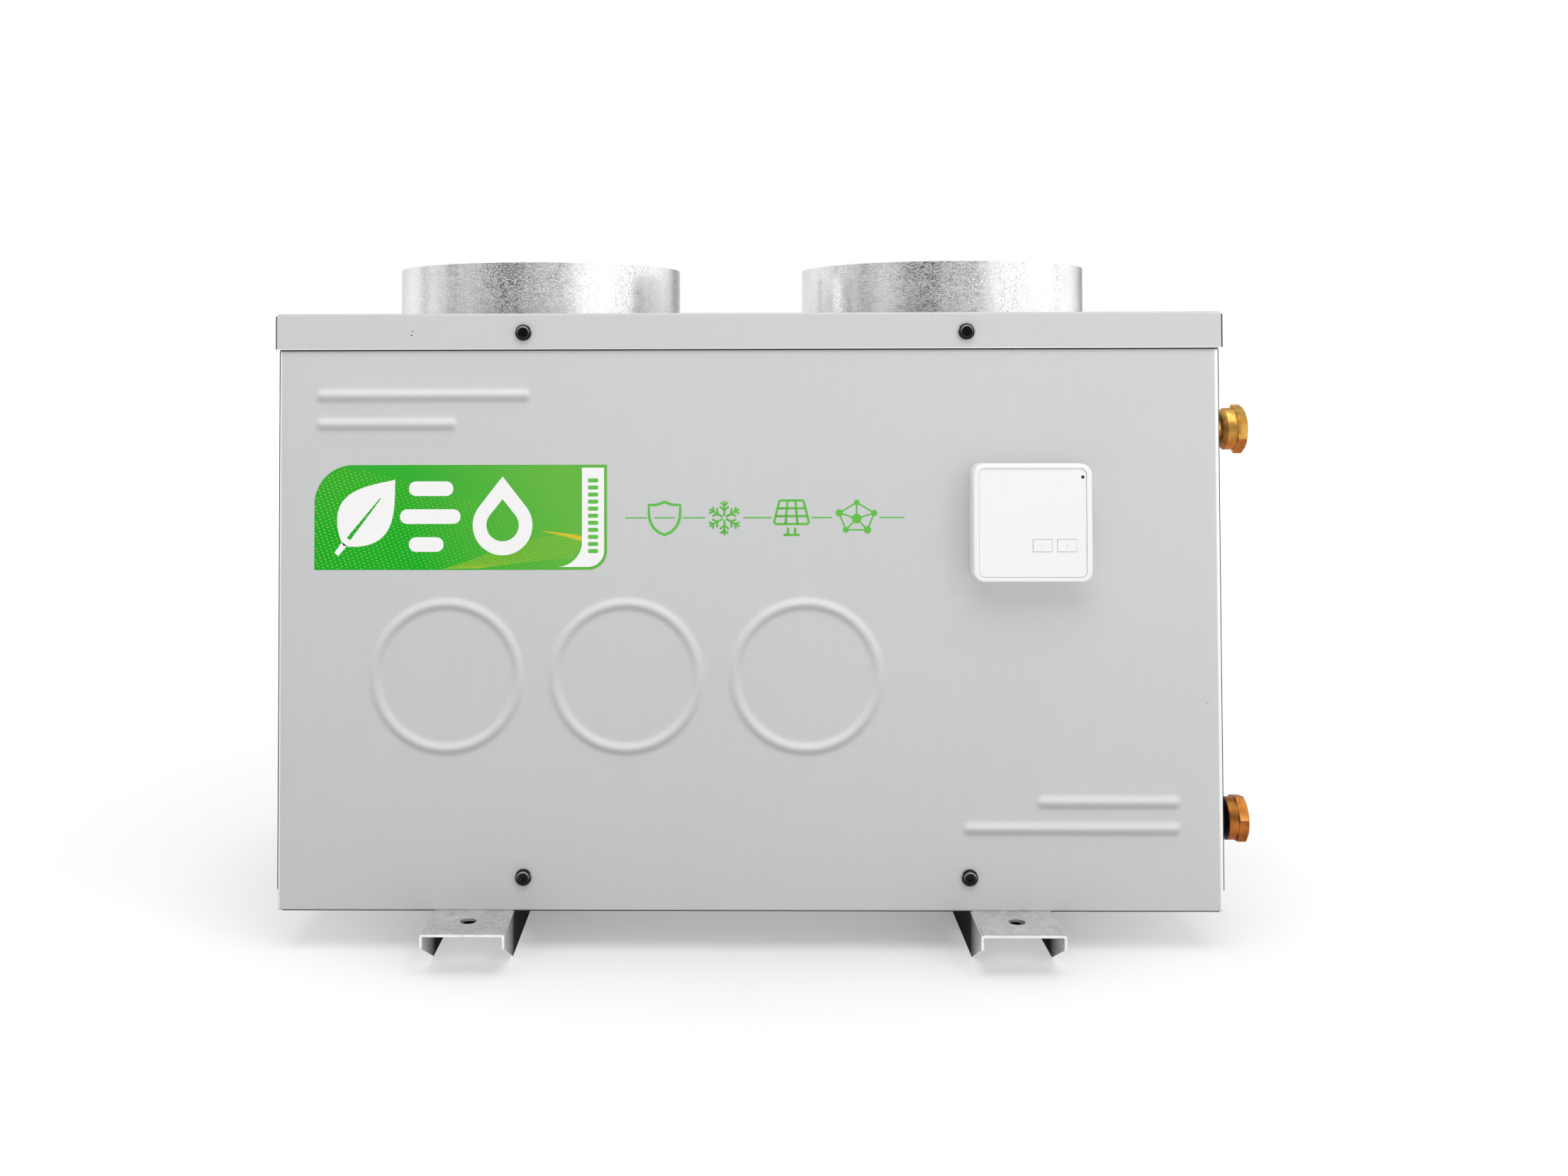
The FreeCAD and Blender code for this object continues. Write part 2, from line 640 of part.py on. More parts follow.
def foot_rail(label, across):
    """A channel with its flanges down, mitred at both ends, and a fixing hole near each end."""
    rail = body(label, across)
    outer = "rail_width / 2"
    wall = "rail_width / 2 - rail_skin"
    web = "rail_height - rail_skin"
    profile = [(f"-{outer}", "0"), (f"-({wall})", "0"), (f"-({wall})", web), (wall, web),
               (wall, "0"), (outer, "0"), (outer, "rail_height"), (f"-{outer}", "rail_height")]
    section = polygon(sketch(rail, "XZ_Plane"), profile)
    channel = pad(rail, section, "unit_depth + 2 * rail_reach", both_ways=True)
    upper = lies_at(Z_AXIS, size("rail_height"))
    along = runs_along(Y_AXIS)
    round_off(rail, channel, lambda e: upper(e) and along(e), "bend_radius")
    mitres = sketch(rail, "YZ_Plane")
    end = "(unit_depth / 2 + rail_reach)"
    nose = "rail_height - rail_nose"
    for sign in ("-", ""):
        polygon(mitres, [(f"{sign}({end} + 1)", "-1"), (f"{sign}({end} - rail_mitre)", "-0.001"),
                         (f"{sign}{end}", nose), (f"{sign}({end} + 1)", nose)])
    pocket(rail, mitres, "rail_width + 2")
    holes = sketch(rail, "XY_Plane", "rail_height")
    for sign in ("-", ""):
        circle(holes, "0", f"{sign}({end} - rail_hole_inset)", "rail_hole_radius")
        circle(holes, "0", f"{sign}(unit_depth / 2 - rail_bolt_inset)", BOLT_HOLE)
    pocket(rail, holes, "10")


def foot_rail_fasteners():
    """Four bolts from inside the tray, and their nuts under the rails' webs."""
    radius = size("bolt_radius")
    flats = size("bolt_flats")
    head, length, thread_gap, nut_height = 4, 12, 0.02, 5
    bolt = hexagon_bar(flats, head).fuse(Part.makeCylinder(radius, length, Vector(0, 0, -length)))
    places = [(spot(across, along, FLOOR_TOP), Z_AXIS) for across, along in rail_bolts()]
    shaped("foot_rail_bolts", copies(bolt, places))
    nut = hexagon_bar(flats, nut_height).cut(Part.makeCylinder(radius + thread_gap, nut_height))
    below = f"rail_height - rail_skin - {nut_height}"
    places = [(spot(across, along, below), Z_AXIS) for across, along in rail_bolts()]
    shaped("foot_rail_nuts", copies(nut, places))


def hexagon_bar(flats, height):
    """A hexagonal bar along +Z, made in code for small fasteners."""
    radius = flats / math.sqrt(3)
    corners = [Vector(radius * math.sin(math.radians(60 * i)), radius * math.cos(math.radians(60 * i)), 0)
               for i in range(7)]
    return Part.Face(Part.makePolygon(corners)).extrude(Vector(0, 0, height))


# ---- duct collars ----

def rivet_places(across):
    """The four rivets round a collar, as expressions across and along."""
    turns = [math.radians(45 + 90 * i) for i in range(4)]
    return [(f"{across} + rivet_ring * {math.cos(turn):.6f}", f"rivet_ring * {math.sin(turn):.6f}")
            for turn in turns]


def duct_collar(label, across):
    """A round galvanised collar that a duct slides over, with a neck and a riveted flange at the lid."""
    inner = "(duct_radius - duct_skin)"
    neck_inner = "(duct_neck - duct_skin)"
    step = LID_UNDER
    neck_top = f"({LID_TOP} + duct_neck_end)"
    neck_bend = f"({neck_top} - duct_radius + duct_neck)"
    collar = blank(label + "_blank", across)
    revolve(collar, [(neck_inner, f"{step} - duct_skin"),
                     ("duct_radius + duct_flange", f"{step} - duct_skin"),
                     ("duct_radius + duct_flange", step), ("duct_neck", step), ("duct_neck", neck_bend),
                     ("duct_radius", neck_top), ("duct_radius", RIM), (inner, RIM),
                     (inner, neck_top), (neck_inner, neck_bend)])
    bars = [cylinder("rivet_hole", "8", (x, y, f"{LID_UNDER} - 4")) for x, y in rivet_places(across)]
    keep(less(collar, bars), label)


def collar_rivets():
    """Domed blind rivets through the lid and the collars' flanges."""
    dome_radius, rise = 3.2, 1.1
    tail_radius, tail_length = 2.4, 1.5
    grip = size("skin + duct_skin")
    sphere = (dome_radius ** 2 + rise ** 2) / (2 * rise)
    dome = Part.makeSphere(sphere, Vector(0, 0, rise - sphere)).common(
        Part.makeCylinder(dome_radius, rise))
    stem = Part.makeCylinder(size("rivet_hole - 0.1"), grip, Vector(0, 0, -grip))
    tail = Part.makeCylinder(tail_radius, tail_length, Vector(0, 0, -grip - tail_length))
    rivet = dome.fuse([stem, tail])
    places = [(spot(x, y, LID_TOP), Z_AXIS)
              for across in ("intake_x", "exhaust_x") for x, y in rivet_places(across)]
    shaped("collar_rivets", copies(rivet, places))


# ---- label and controller ----

def front_label():
    """A thin sticker on the front panel, with two of its corners rounded off."""
    label = body("front_label", "label_left", FRONT, "label_low")
    outline = rectangle(sketch(label, "XZ_Plane"), "0", "0", "label_width", "label_tall")
    plate = pad(label, outline, "label_thick")
    along = runs_along(Y_AXIS)
    top = lies_at(Z_AXIS, size("label_tall"))
    bottom = lies_at(Z_AXIS, 0)
    left = lies_at(X_AXIS, 0)
    right = lies_at(X_AXIS, size("label_width"))
    shoulder = round_off(label, plate, lambda e: along(e) and top(e) and left(e), "label_corner")
    round_off(label, shoulder, lambda e: along(e) and bottom(e) and right(e), "label_heel")


def rounded_plate(label, width, tall, corner, thick, back):
    """A blank on the controller, centred on it, that stands forward from a depth called back."""
    plate = blank(label, "control_x", back, "control_z")
    outline = rectangle(sketch(plate, "XZ_Plane"), f"-({width}) / 2", f"-({tall}) / 2",
                        f"({width}) / 2", f"({tall}) / 2")
    raised = pad(plate, outline, thick)
    round_off(plate, raised, runs_along(Y_AXIS), corner)
    return plate


def controller_housing():
    """A hollow box, open at the back, with a recess for the faceplate and windows for the keys."""
    shell = rounded_plate("controller_block", "control_width", "control_tall", "control_corner",
                          "control_depth", FRONT)
    rim = lies_at(-Y_AXIS, size("control_depth"))
    round_off(shell, shell.Tip, rim, "1.4")
    hollow = rounded_plate("controller_hollow", "control_width - 2 * control_wall",
                           "control_tall - 2 * control_wall", "control_corner - control_wall",
                           "control_depth - face_sink - face_thick - control_wall", FRONT)
    recess = rounded_plate("controller_recess", "face_width", "face_tall", "face_corner",
                           "face_sink + face_thick + 5", f"{FACE_FRONT} + face_thick")
    windows = [key_block(i, "face_gap + 0.4", f"{FACE_FRONT} - 5", "15") for i in (0, 1)]
    keep(less(shell, [hollow, recess] + windows + [lamp_bar("0.35")]), "controller_housing")


def lamp_bar(margin):
    """A bar round the indicator's place, wider by a margin."""
    start = ("control_x + lamp_x", f"{FACE_FRONT} - 5", "control_z + lamp_z")
    return cylinder(f"lamp_radius + {margin}", "15", start, ALONG_Y)


def key_block(number, margin, start, length):
    """A block round one key's place, wider by a margin, from a depth called start towards +Y."""
    across = f"control_x + key_first + {number} * key_pitch"
    up = "control_z + key_z"
    half_width = f"(key_width / 2 + {margin})"
    half_tall = f"(key_tall / 2 + {margin})"
    return box((f"{across} - {half_width}", start, f"{up} - {half_tall}"),
               (f"{across} + {half_width}", f"{start} + {length}", f"{up} + {half_tall}"))


def controller_faceplate():
    """The plate that lies in the housing's recess, with its two key windows and the indicator's hole."""
    plate = rounded_plate("faceplate_block", "face_width - 2 * face_gap", "face_tall - 2 * face_gap",
                          "face_corner - face_gap", "face_thick", f"{FACE_FRONT} + face_thick")
    windows = [key_block(i, "face_gap", f"{FACE_FRONT} - 5", "15") for i in (0, 1)]
    keep(less(plate, windows + [lamp_bar("0.05")]), "controller_faceplate")


def controller_key(label, number):
    """A key in the faceplate, with a wider foot behind the housing's front wall that keeps it in."""
    cap = key_block(number, "0", f"{FACE_FRONT} - key_proud", "key_proud + face_thick + control_wall + 0.4")
    foot_start = f"{FACE_FRONT} + face_thick + control_wall + key_foot_gap"
    foot = key_block(number, "1.2", foot_start, "key_foot_end - key_foot_gap")
    keep(joined([cap, foot]), label)


def controller_insides():
    """Back plate, board with its key switches and its chip, and the indicator."""
    plate = rounded_plate("back_plate_block", "control_width - 2 * control_wall - 0.4",
                          "control_tall - 2 * control_wall - 0.4", "control_corner - control_wall - 0.1",
                          "2.5", FRONT)
    entry = cylinder("cable_hole", "20", ("control_x", f"{FRONT} - 10", "control_z"), ALONG_Y)
    keep(less(plate, [entry]), "controller_back_plate")

    wall_back = f"({FACE_FRONT} + face_thick + control_wall)"
    front = f"{wall_back} + 6"
    board = box(("control_x - 30", front, "control_z - 29"),
                ("control_x + 30", f"{front} + board_thick", "control_z + 29"))
    switch_start = f"({wall_back} + key_foot_end + key_travel + 0.4)"
    switches = [key_block(i, "-1", switch_start, f"{front} - {switch_start}") for i in (0, 1)]
    chip = box(("control_x - 20", f"{front} - 1.5", "control_z + 2"),
               ("control_x - 6", front, "control_z + 16"))
    keep(joined([board, chip] + switches), "controller_board")

    start = f"{FACE_FRONT} + 0.1"
    place_of_lamp = ("control_x + lamp_x", start, "control_z + lamp_z")
    keep(cylinder("lamp_radius", f"{front} - ({start})", place_of_lamp, ALONG_Y), "controller_indicator")


# ---- water unions ----

def water_union(prefix, height, reach, turn, cover):
    """A captive union nut on a tail that goes through a grommet in the side wall.

    reach is the nut's outer end beyond the box's side, turn how far the nut is screwed round, in
    degrees, and cover how much of the tail's hexagon the grommet hides. The bodies' own Z axis points
    out, to +X.
    """
    nut_start = f"({reach} - nut_length)"
    throat_end = f"({nut_start} + nut_back)"
    ring_start = f"({throat_end} + 0.1)"
    collar_start = f"({ring_start} + ring_thick + 0.1)"
    hex_end = f"({nut_start} - nut_travel - 0.1)"
    hex_start = f"({hex_end} - tail_hex_length)"
    at = (SIDE, "union_y", height, ALONG_X)

    pocket_start = f"({hex_start} - 0.1)"
    pocket_radius = "tail_flats / sqrt(3) + 0.1"
    grommet_end = f"({hex_start} + {cover})"
    turned(f"{prefix}_pipe_grommet", [
        ("tail_pipe + 0.1", "-skin - 2"), ("grommet_radius", "-skin - 2"), ("grommet_radius", "-skin"),
        ("grommet_hole - 0.1", "-skin"), ("grommet_hole - 0.1", "0"), ("grommet_radius", "0"),
        ("grommet_radius", f"{grommet_end} - 0.8"), ("grommet_radius - 0.8", grommet_end),
        (pocket_radius, grommet_end), (pocket_radius, pocket_start),
        ("tail_pipe + 0.1", pocket_start)], *at)

    tail = body(f"{prefix}_union_tail", *at)
    collar_end = f"({collar_start} + tail_collar_length)"
    revolve(tail, [("tail_bore", "-tail_inside"), ("tail_pipe", "-tail_inside"), ("tail_pipe", hex_start),
                   ("tail_pipe", hex_end), ("tail_neck", hex_end), ("tail_neck", collar_start),
                   ("tail_collar", collar_start), ("tail_collar", collar_end), ("tail_bore", collar_end)])
    flats = sketch(tail, "XY_Plane", hex_start)
    hexagon(flats, "tail_flats")
    circle(flats, "0", "0", "tail_bore + 1")
    pad(tail, flats, "tail_hex_length")

    turned(f"{prefix}_nut_ring", [
        ("tail_neck + 0.06", ring_start), ("tail_collar - 0.2", ring_start),
        ("tail_collar - 0.2", f"{ring_start} + ring_thick"),
        ("tail_neck + 0.06", f"{ring_start} + ring_thick")], *at)

    nut = body(f"{prefix}_union_nut", *at)
    drawing = sketch(nut, "XY_Plane", f"{reach} - nut_hex_length")
    hexagon(drawing, "nut_flats", turn)
    pad(nut, drawing, "nut_hex_length")
    corner = "nut_flats / sqrt(3)"
    crown = f"({corner} - nut_flats / 2) * 0.6"
    revolve(nut, [("nut_flats / 2 - 0.3", reach), (f"{corner} + 1", reach),
                  (f"{corner} + 1", f"{reach} - {crown} - 0.6"), (corner, f"{reach} - {crown}")], groove=True)
    skirt_end = f"({reach} - nut_hex_length)"
    revolve(nut, [("0", nut_start), ("nut_skirt - 2.4", nut_start), ("nut_skirt", f"{nut_start} + 2.4"),
                  ("nut_skirt", f"{skirt_end} + 1"), ("0", f"{skirt_end} + 1")])
    revolve(nut, [("0", f"{nut_start} - 1"), ("nut_throat", f"{nut_start} - 1"), ("nut_throat", throat_end),
                  ("nut_chamber", throat_end), ("nut_chamber", collar_end), ("nut_thread", collar_end),
                  ("nut_thread", f"{reach} + 1"), ("0", f"{reach} + 1")], groove=True)


# ---- services on the back ----

def condensate_spout():
    """A plain hose spout through the back wall, drained from the condensate pan."""
    end = "spout_reach"
    bore = "spout_radius - 1.8"
    turned("condensate_spout", [
        (bore, "-14"), ("spout_radius", "-14"), ("spout_radius", "0"), ("spout_radius + 3", "0"),
        ("spout_radius + 3", "2"), ("spout_radius", "2"), ("spout_radius", f"{end} - 1"),
        ("spout_radius - 1", end), (bore, end)],
        "spout_x", "unit_depth / 2", "spout_z", ALONG_Y)


def cable_gland():
    """A gland for the supply cable: hexagon, thread through the wall and a domed clamping cap."""
    gland = blank("gland_body", "gland_x", "unit_depth / 2", "gland_z", ALONG_Y)
    revolve(gland, [("gland_bore", "-9"), ("gland_thread", "-9"), ("gland_thread", "0"), ("10.5", "0"),
                    ("10.5", "5"), ("9.4", "5"), ("9.4", "6"), ("10.4", "6.6"), ("10.4", "14"), ("8.4", "19"),
                    ("6", "21"), ("gland_bore", "21")])
    drawing = sketch(gland, "XY_Plane")
    hexagon(drawing, "gland_flats")
    circle(drawing, "0", "0", "gland_bore + 1")
    pad(gland, drawing, "5")
    lock = blank("gland_lock_nut", "gland_x", "unit_depth / 2", "gland_z", ALONG_MINUS_Y)
    drawing = sketch(lock, "XY_Plane", "skin")
    hexagon(drawing, "gland_flats")
    circle(drawing, "0", "0", "gland_thread + 0.05")
    pad(lock, drawing, "4")
    keep(group([gland, lock]), "cable_gland")


# ---- pipes ----

def bent_route(points, bend):
    """Straight runs joined by tangent arcs of one radius, as a wire."""
    edges = []
    start = points[0]
    for before, corner, after in zip(points, points[1:], points[2:]):
        inward = (before - corner).normalize()
        onward = (after - corner).normalize()
        half = inward.getAngle(onward) / 2
        back = bend / math.tan(half)
        first = corner + inward * back
        last = corner + onward * back
        centre = corner + (inward + onward).normalize() * (bend / math.sin(half))
        middle = centre + (corner - centre).normalize() * bend
        if start.distanceToPoint(first) > 1e-6:
            edges.append(Part.makeLine(start, first))
        edges.append(Part.Arc(first, middle, last).toShape())
        start = last
    if start.distanceToPoint(points[-1]) > 1e-6:
        edges.append(Part.makeLine(start, points[-1]))
    return Part.Wire(edges)


def swept(route, radius):
    """A round bar along a route."""
    start = route.Edges[0]
    tangent = start.tangentAt(start.FirstParameter)
    ring_wire = Part.Wire(Part.makeCircle(radius, start.valueAt(start.FirstParameter), tangent))
    return route.makePipeShell([ring_wire], True, False)


def tube(points, bend, radius, wall=1.0):
    """A hollow pipe along bent runs."""
    route = bent_route(points, bend)
    return swept(route, radius).cut(swept(route, radius - wall))


def refrigerant_pipes():
    """Discharge, suction and liquid pipes between compressor, exchanger and evaporator."""
    radius = size("pipe_radius")
    bend = 14
    exchanger_side = "exchanger_x - 37.1"
    gas_y = "-124"
    gas_z = "shell_high + 26"
    discharge = [spot("shell_x", "shell_y", "shell_high + 0.2"), spot("shell_x", "shell_y", gas_z),
                 spot("shell_x", "120", gas_z), spot("-62", "120", gas_z),
                 spot("-62", gas_y, gas_z), spot(exchanger_side, gas_y, gas_z)]
    shaped("discharge_pipe", tube(discharge, bend, radius))
    loop_z = "accumulator_low + 146"
    suction = [spot("coil_x - coil_deep / 2 - 2.2", "128", "coil_low + 16"),
               spot("-86", "128", "coil_low + 16"), spot("-86", "128", loop_z),
               spot("accumulator_x", "128", loop_z), spot("accumulator_x", "128", "accumulator_low + 120.2")]
    shell_side = spot("shell_x", "shell_y", "accumulator_low - 16")
    below = spot("accumulator_x", "128", "accumulator_low - 16")
    into_shell = shell_side + (below - shell_side).normalize() * (size("shell_radius") + 0.3)
    link = [spot("accumulator_x", "128", "accumulator_low - 0.2"), below, into_shell]
    shaped("suction_pipe", Part.makeCompound([tube(suction, 12, radius), tube(link, 10, radius)]))
    liquid = [spot(exchanger_side, "-128", "exchanger_low + 14"), spot("20", "-128", "exchanger_low + 14"),
              spot("20", "-128", "112")]
    shaped("liquid_pipe", tube(liquid, bend, radius - 1.5))


def drier_and_valve():
    """Filter drier under the liquid pipe, and the expansion valve that feeds the evaporator."""
    turned("filter_drier", [("0", "0"), ("3", "0"), ("3", "4"), ("9", "12"), ("9", "36"), ("3", "44"),
                            ("3", "48"), ("0", "48")], "20", "-128", "63.8")
    turned("expansion_valve", [("0", "0"), ("6", "0"), ("6", "4"), ("10", "4"), ("10", "15"), ("5", "15"),
                               ("5", "20"), ("15", "22"), ("15", "24"), ("12", "27"), ("0", "27")],
           "-10", "-133", "292")


# ---- compressor ----

def compressor():
    """Hermetic shell with a welded foot plate."""
    can = blank("compressor_can", "shell_x", "shell_y")
    revolve(can, [
        ("0", "shell_low"), ("shell_radius * 0.55", "shell_low"), ("shell_radius * 0.88", "shell_low + 9"),
        ("shell_radius", "shell_low + 24"), ("shell_radius", "shell_high - 30"),
        ("shell_radius * 0.9", "shell_high - 13"), ("shell_radius * 0.6", "shell_high - 3"),
        ("0", "shell_high")])
    seam_band = ring("shell_radius - 0.5", "2", ("shell_x", "shell_y", "shell_high - 30"))
    plate = cylinder("shell_radius + 12", "3", ("shell_x", "shell_y", "shell_low - 3"))
    holes = [cylinder("5.2", "20", (x, y, "shell_low - 10")) for x, y in compressor_feet()]
    keep(less(joined([can, seam_band, plate]), holes), "compressor_shell")


def compressor_feet():
    """Where the three rubber feet stand, as expressions across and along."""
    reach = "(shell_radius + 3)"
    turns = [math.radians(30 + 120 * i) for i in range(3)]
    return [(f"shell_x + {reach} * {math.cos(turn):.6f}", f"shell_y + {reach} * {math.sin(turn):.6f}")
            for turn in turns]


def compressor_mounts():
    """Three rubber feet, each with a bolt through it into the tray."""
    feet = []
    bolts = []
    for x, y in compressor_feet():
        foot = joined([cylinder("11", f"shell_low - 3 - {FLOOR_TOP}", (x, y, FLOOR_TOP)),
                       cylinder("5", "7", (x, y, "shell_low - 5")), cylinder("8", "3", (x, y, "shell_low"))])
        feet.append(less(foot, [cylinder("bolt_radius + 0.1", "60", (x, y, "10"))]))
        bolts.append(joined([cylinder("bolt_radius", f"shell_low + 3 - {FLOOR_TOP}", (x, y, FLOOR_TOP)),
                             cylinder("5.5", "4", (x, y, "shell_low + 3"))]))
    keep(group(feet), "compressor_rubber_feet")
    keep(group(bolts), "compressor_bolts")


def compressor_extras():
    """Suction accumulator beside the shell and the plastic cap over its terminals."""
    turned("accumulator", [("0", "0"), ("10", "2"), ("22", "12"), ("24", "20"), ("24", "100"), ("20", "112"),
                           ("5", "120"), ("0", "120")], "accumulator_x", "128", "accumulator_low")
    cap = box(("shell_x - 22", "shell_y - 26", "shell_high + 0.4"),
              ("shell_x + 22", "shell_y - 6", "shell_high + 18"))
    keep(cap, "compressor_terminal_cover")


# ---- evaporator ----

def coil_rows():
    """Heights of the evaporator's tubes."""
    rows = 12
    low = size("coil_low")
    pitch = size("coil_tall") / rows
    return [low + pitch * (i + 0.5) for i in range(rows)]


def evaporator():
    """Thin fins on two serpentine tubes, between two end plates."""
    front = size("coil_front")
    length = size("coil_length")
    low = size("coil_low")
    tall = size("coil_tall")
    deep = size("coil_deep")
    middle = size("centre_x + coil_x")
    radius = size("pipe_radius")
    thick = size("fin_thick")
    heights = coil_rows()
    columns = (middle - deep / 4, middle + deep / 4)

    def plate(y, thickness, width, bottom, top):
        blank = Part.makeBox(width, thickness, top - bottom, Vector(middle - width / 2, y, bottom))
        bars = [Part.makeCylinder(radius + 0.05, thickness + 2, Vector(x, y - 1, z), Y_AXIS)
                for x in columns for z in heights]
        return blank.cut(bars)

    count = int((length - 12) / size("fin_pitch"))
    fin = plate(0, thick, deep, low, low + tall)
    fins = []
    for i in range(count):
        copy = fin.copy()
        copy.translate(Vector(0, front + 6 + i * size("fin_pitch"), 0))
        fins.append(copy)
    shaped("evaporator_fins", Part.makeCompound(fins))

    foot = size(f"{FLOOR_TOP} + 2")
    ends = [plate(y, 1.5, deep + 4, foot, low + tall + 4) for y in (front, front + length - 1.5)]
    shaped("evaporator_end_plates", Part.makeCompound(ends))

    half_pitch = (heights[1] - heights[0]) / 2
    coils = []
    for x in columns:
        points = []
        for i, z in enumerate(heights):
            sides = (front - 1 - half_pitch, front + length + 1 + half_pitch)
            start, end = sides if i % 2 == 0 else sides[::-1]
            points += [Vector(x, start, z), Vector(x, end, z)]
        coils.append(swept(bent_route(points, half_pitch - 0.001), radius))
    shaped("evaporator_tubes", Part.makeCompound(coils))


def condensate_pan():
    """Shallow pan under the evaporator, with a neck for the spout."""
    back = "unit_depth / 2"
    outer = box(("coil_x - 34", "coil_front - 22", FLOOR_TOP),
                ("coil_x + 34", f"{back} - 6", f"{FLOOR_TOP} + 30"))
    inner = box(("coil_x - 32", "coil_front - 20", f"{FLOOR_TOP} + 2"),
                ("coil_x + 32", f"{back} - 8", f"{FLOOR_TOP} + 40"))
    outlet = cylinder("spout_radius + 0.1", "20", ("spout_x", f"{back} - 18", "spout_z"), ALONG_Y)
    neck = cylinder("spout_radius + 2", "8", ("spout_x", f"{back} - 14", "spout_z"), ALONG_Y)
    keep(less(joined([outer, neck]), [inner, outlet]), "condensate_pan")


def air_partition():
    """Upright sheet that closes the water side's strip along the front off from the fan."""
    plate = box(("10", "-48", FLOOR_TOP), ("280", "-46.8", "shell_high + 50"))
    keep(plate, "air_partition")


# ---- fan ----

# The scroll's cutoff above the fan's axis, in degrees from +X.
SCROLL_CUTOFF = 50


def fan_scroll():
    """Spiral housing round the impeller, open at its inlet side and at its outlet on top."""
    wall = 1.5
    clearance = 8
    front = size("fan_front") - clearance
    deep = size("fan_width") + 2 * clearance
    centre = spot("fan_x", "0", "fan_z")
    inner = size("fan_radius") + clearance
    growth = size("scroll_growth")
    steps = 24

    def outline(extra):
        """The spiral, moved out by extra: from the cutoff at the top right round to the left side."""
        points = []
        for i in range(steps + 1):
            share = i / steps
            angle = math.radians(SCROLL_CUTOFF - (180 + SCROLL_CUTOFF) * share)
            radius = inner + extra + growth * share
            points.append(Vector(centre.x + radius * math.cos(angle), 0, centre.z + radius * math.sin(angle)))
        return points

    def block(extra, y, depth, top):
        """A solid spiral with its outlet going straight up to a height called top."""
        points = outline(extra)
        spiral = Part.BSplineCurve()
        spiral.interpolate(points)
        first = points[0]
        last = points[-1]
        right_top = Vector(first.x, 0, top)
        left_top = Vector(last.x, 0, top)
        edges = [spiral.toShape(), Part.makeLine(last, left_top), Part.makeLine(left_top, right_top),
                 Part.makeLine(right_top, first)]
        face = Part.Face(Part.Wire(edges))
        face.translate(Vector(0, y, 0))
        return face.extrude(Vector(0, depth, 0))

    top = size("shell_high + 54")
    solid = block(wall, front, deep, top)
    hollow = block(0, front + wall, deep - 2 * wall, top + 5)
    eye_radius = size("fan_radius") - 12
    stator_hole = 30
    eye = Part.makeCylinder(eye_radius, wall + 2, Vector(centre.x, front - 1, centre.z), Y_AXIS)
    rear = front + deep - wall - 1
    back = Part.makeCylinder(stator_hole, wall + 2, Vector(centre.x, rear, centre.z), Y_AXIS)
    shaped("fan_scroll", solid.cut([hollow, eye, back]).removeSplitter())


def fan_impeller():
    """Back disc, blades and front ring, round a bush that runs on the shaft."""
    wheel = body("fan_impeller", "fan_x", "fan_front", "fan_z", ALONG_Y)
    disc = sketch(wheel, "XY_Plane", "fan_width - 2")
    circle(disc, "0", "0", "fan_radius")
    circle(disc, "0", "0", "38.4")
    pad(wheel, disc, "2")
    rim = sketch(wheel, "XY_Plane")
    circle(rim, "0", "0", "fan_radius")
    circle(rim, "0", "0", "fan_radius - 9")
    pad(wheel, rim, "2")
    blade_sketch = sketch(wheel, "XY_Plane", "1")
    polygon(blade_sketch, [("fan_radius - 14", "-1"), ("fan_radius - 7", "0.6"), ("fan_radius - 1", "5"),
                           ("fan_radius - 1.4", "6.2"), ("fan_radius - 8", "1.8"), ("fan_radius - 14", "0")])
    blade = pad(wheel, blade_sketch, "fan_width - 2")
    pattern = wheel.newObject("PartDesign::PolarPattern", "blades")
    pattern.Originals = [blade]
    pattern.Axis = (blade_sketch, ["N_Axis"])
    pattern.Angle = 360
    pattern.setExpression("Occurrences", bound("fan_blades"))
    wheel.Tip = pattern


def fan_motor():
    """External rotor cup that carries the impeller, and the fixed stator with its shaft and bracket."""
    middle = ("fan_x", "fan_front", "fan_z", ALONG_Y)
    turned("fan_rotor_cup", [
        ("fan_shaft + fan_running_gap", "28"), ("10", "28"), ("10", "34"), ("36", "34"), ("38.3", "37"),
        ("38.3", "fan_width"), ("34", "fan_width"), ("34", "38"), ("10", "38"), ("10", "42"),
        ("fan_shaft + fan_running_gap", "42")], *middle)
    turned("fan_stator", [
        ("0", "26"), ("fan_shaft", "26"), ("fan_shaft", "44"), ("32", "44"), ("32", "fan_width + 1"),
        ("28", "fan_width + 1"), ("28", "fan_width + 12"), ("0", "fan_width + 12")], *middle)
    plate = box(("fan_x - 60", "fan_front + fan_width + 12", FLOOR_TOP),
                ("fan_x + 60", "fan_front + fan_width + 14", "fan_z + 40"))
    keep(plate, "fan_bracket")


def exhaust_adapter():
    """Duct from the scroll's outlet, a rectangle, up to the round collar."""
    top = size(f"{LID_UNDER} - duct_skin - 0.5")
    low = size("shell_high + 55")
    centre = spot("exhaust_x", "0", "0")
    left = spot("fan_x - 118", "0", "0").x
    right = spot("fan_x + 61", "0", "0").x
    front = size("fan_front") - 10
    back = size("fan_front + fan_width") + 10
    rim_radius, wall, cut_margin = 96, 1.0, 0.2

    def loft(extra, margin):
        """The duct's solid shape, wider by extra and longer at both ends by a margin."""
        left_x, right_x = left - extra, right + extra
        front_y, back_y = front - extra, back + extra
        low_z = low - margin
        corners = [Vector(left_x, front_y, low_z), Vector(right_x, front_y, low_z),
                   Vector(right_x, back_y, low_z), Vector(left_x, back_y, low_z)]
        base = Part.makePolygon(corners + corners[:1])
        rim = Part.Wire(Part.makeCircle(rim_radius + extra, Vector(centre.x, 0, top + margin)))
        return Part.makeLoft([base, rim], True, True)

    shaped("exhaust_adapter", loft(wall, 0).cut(loft(0, cut_margin)))


# ---- water side ----

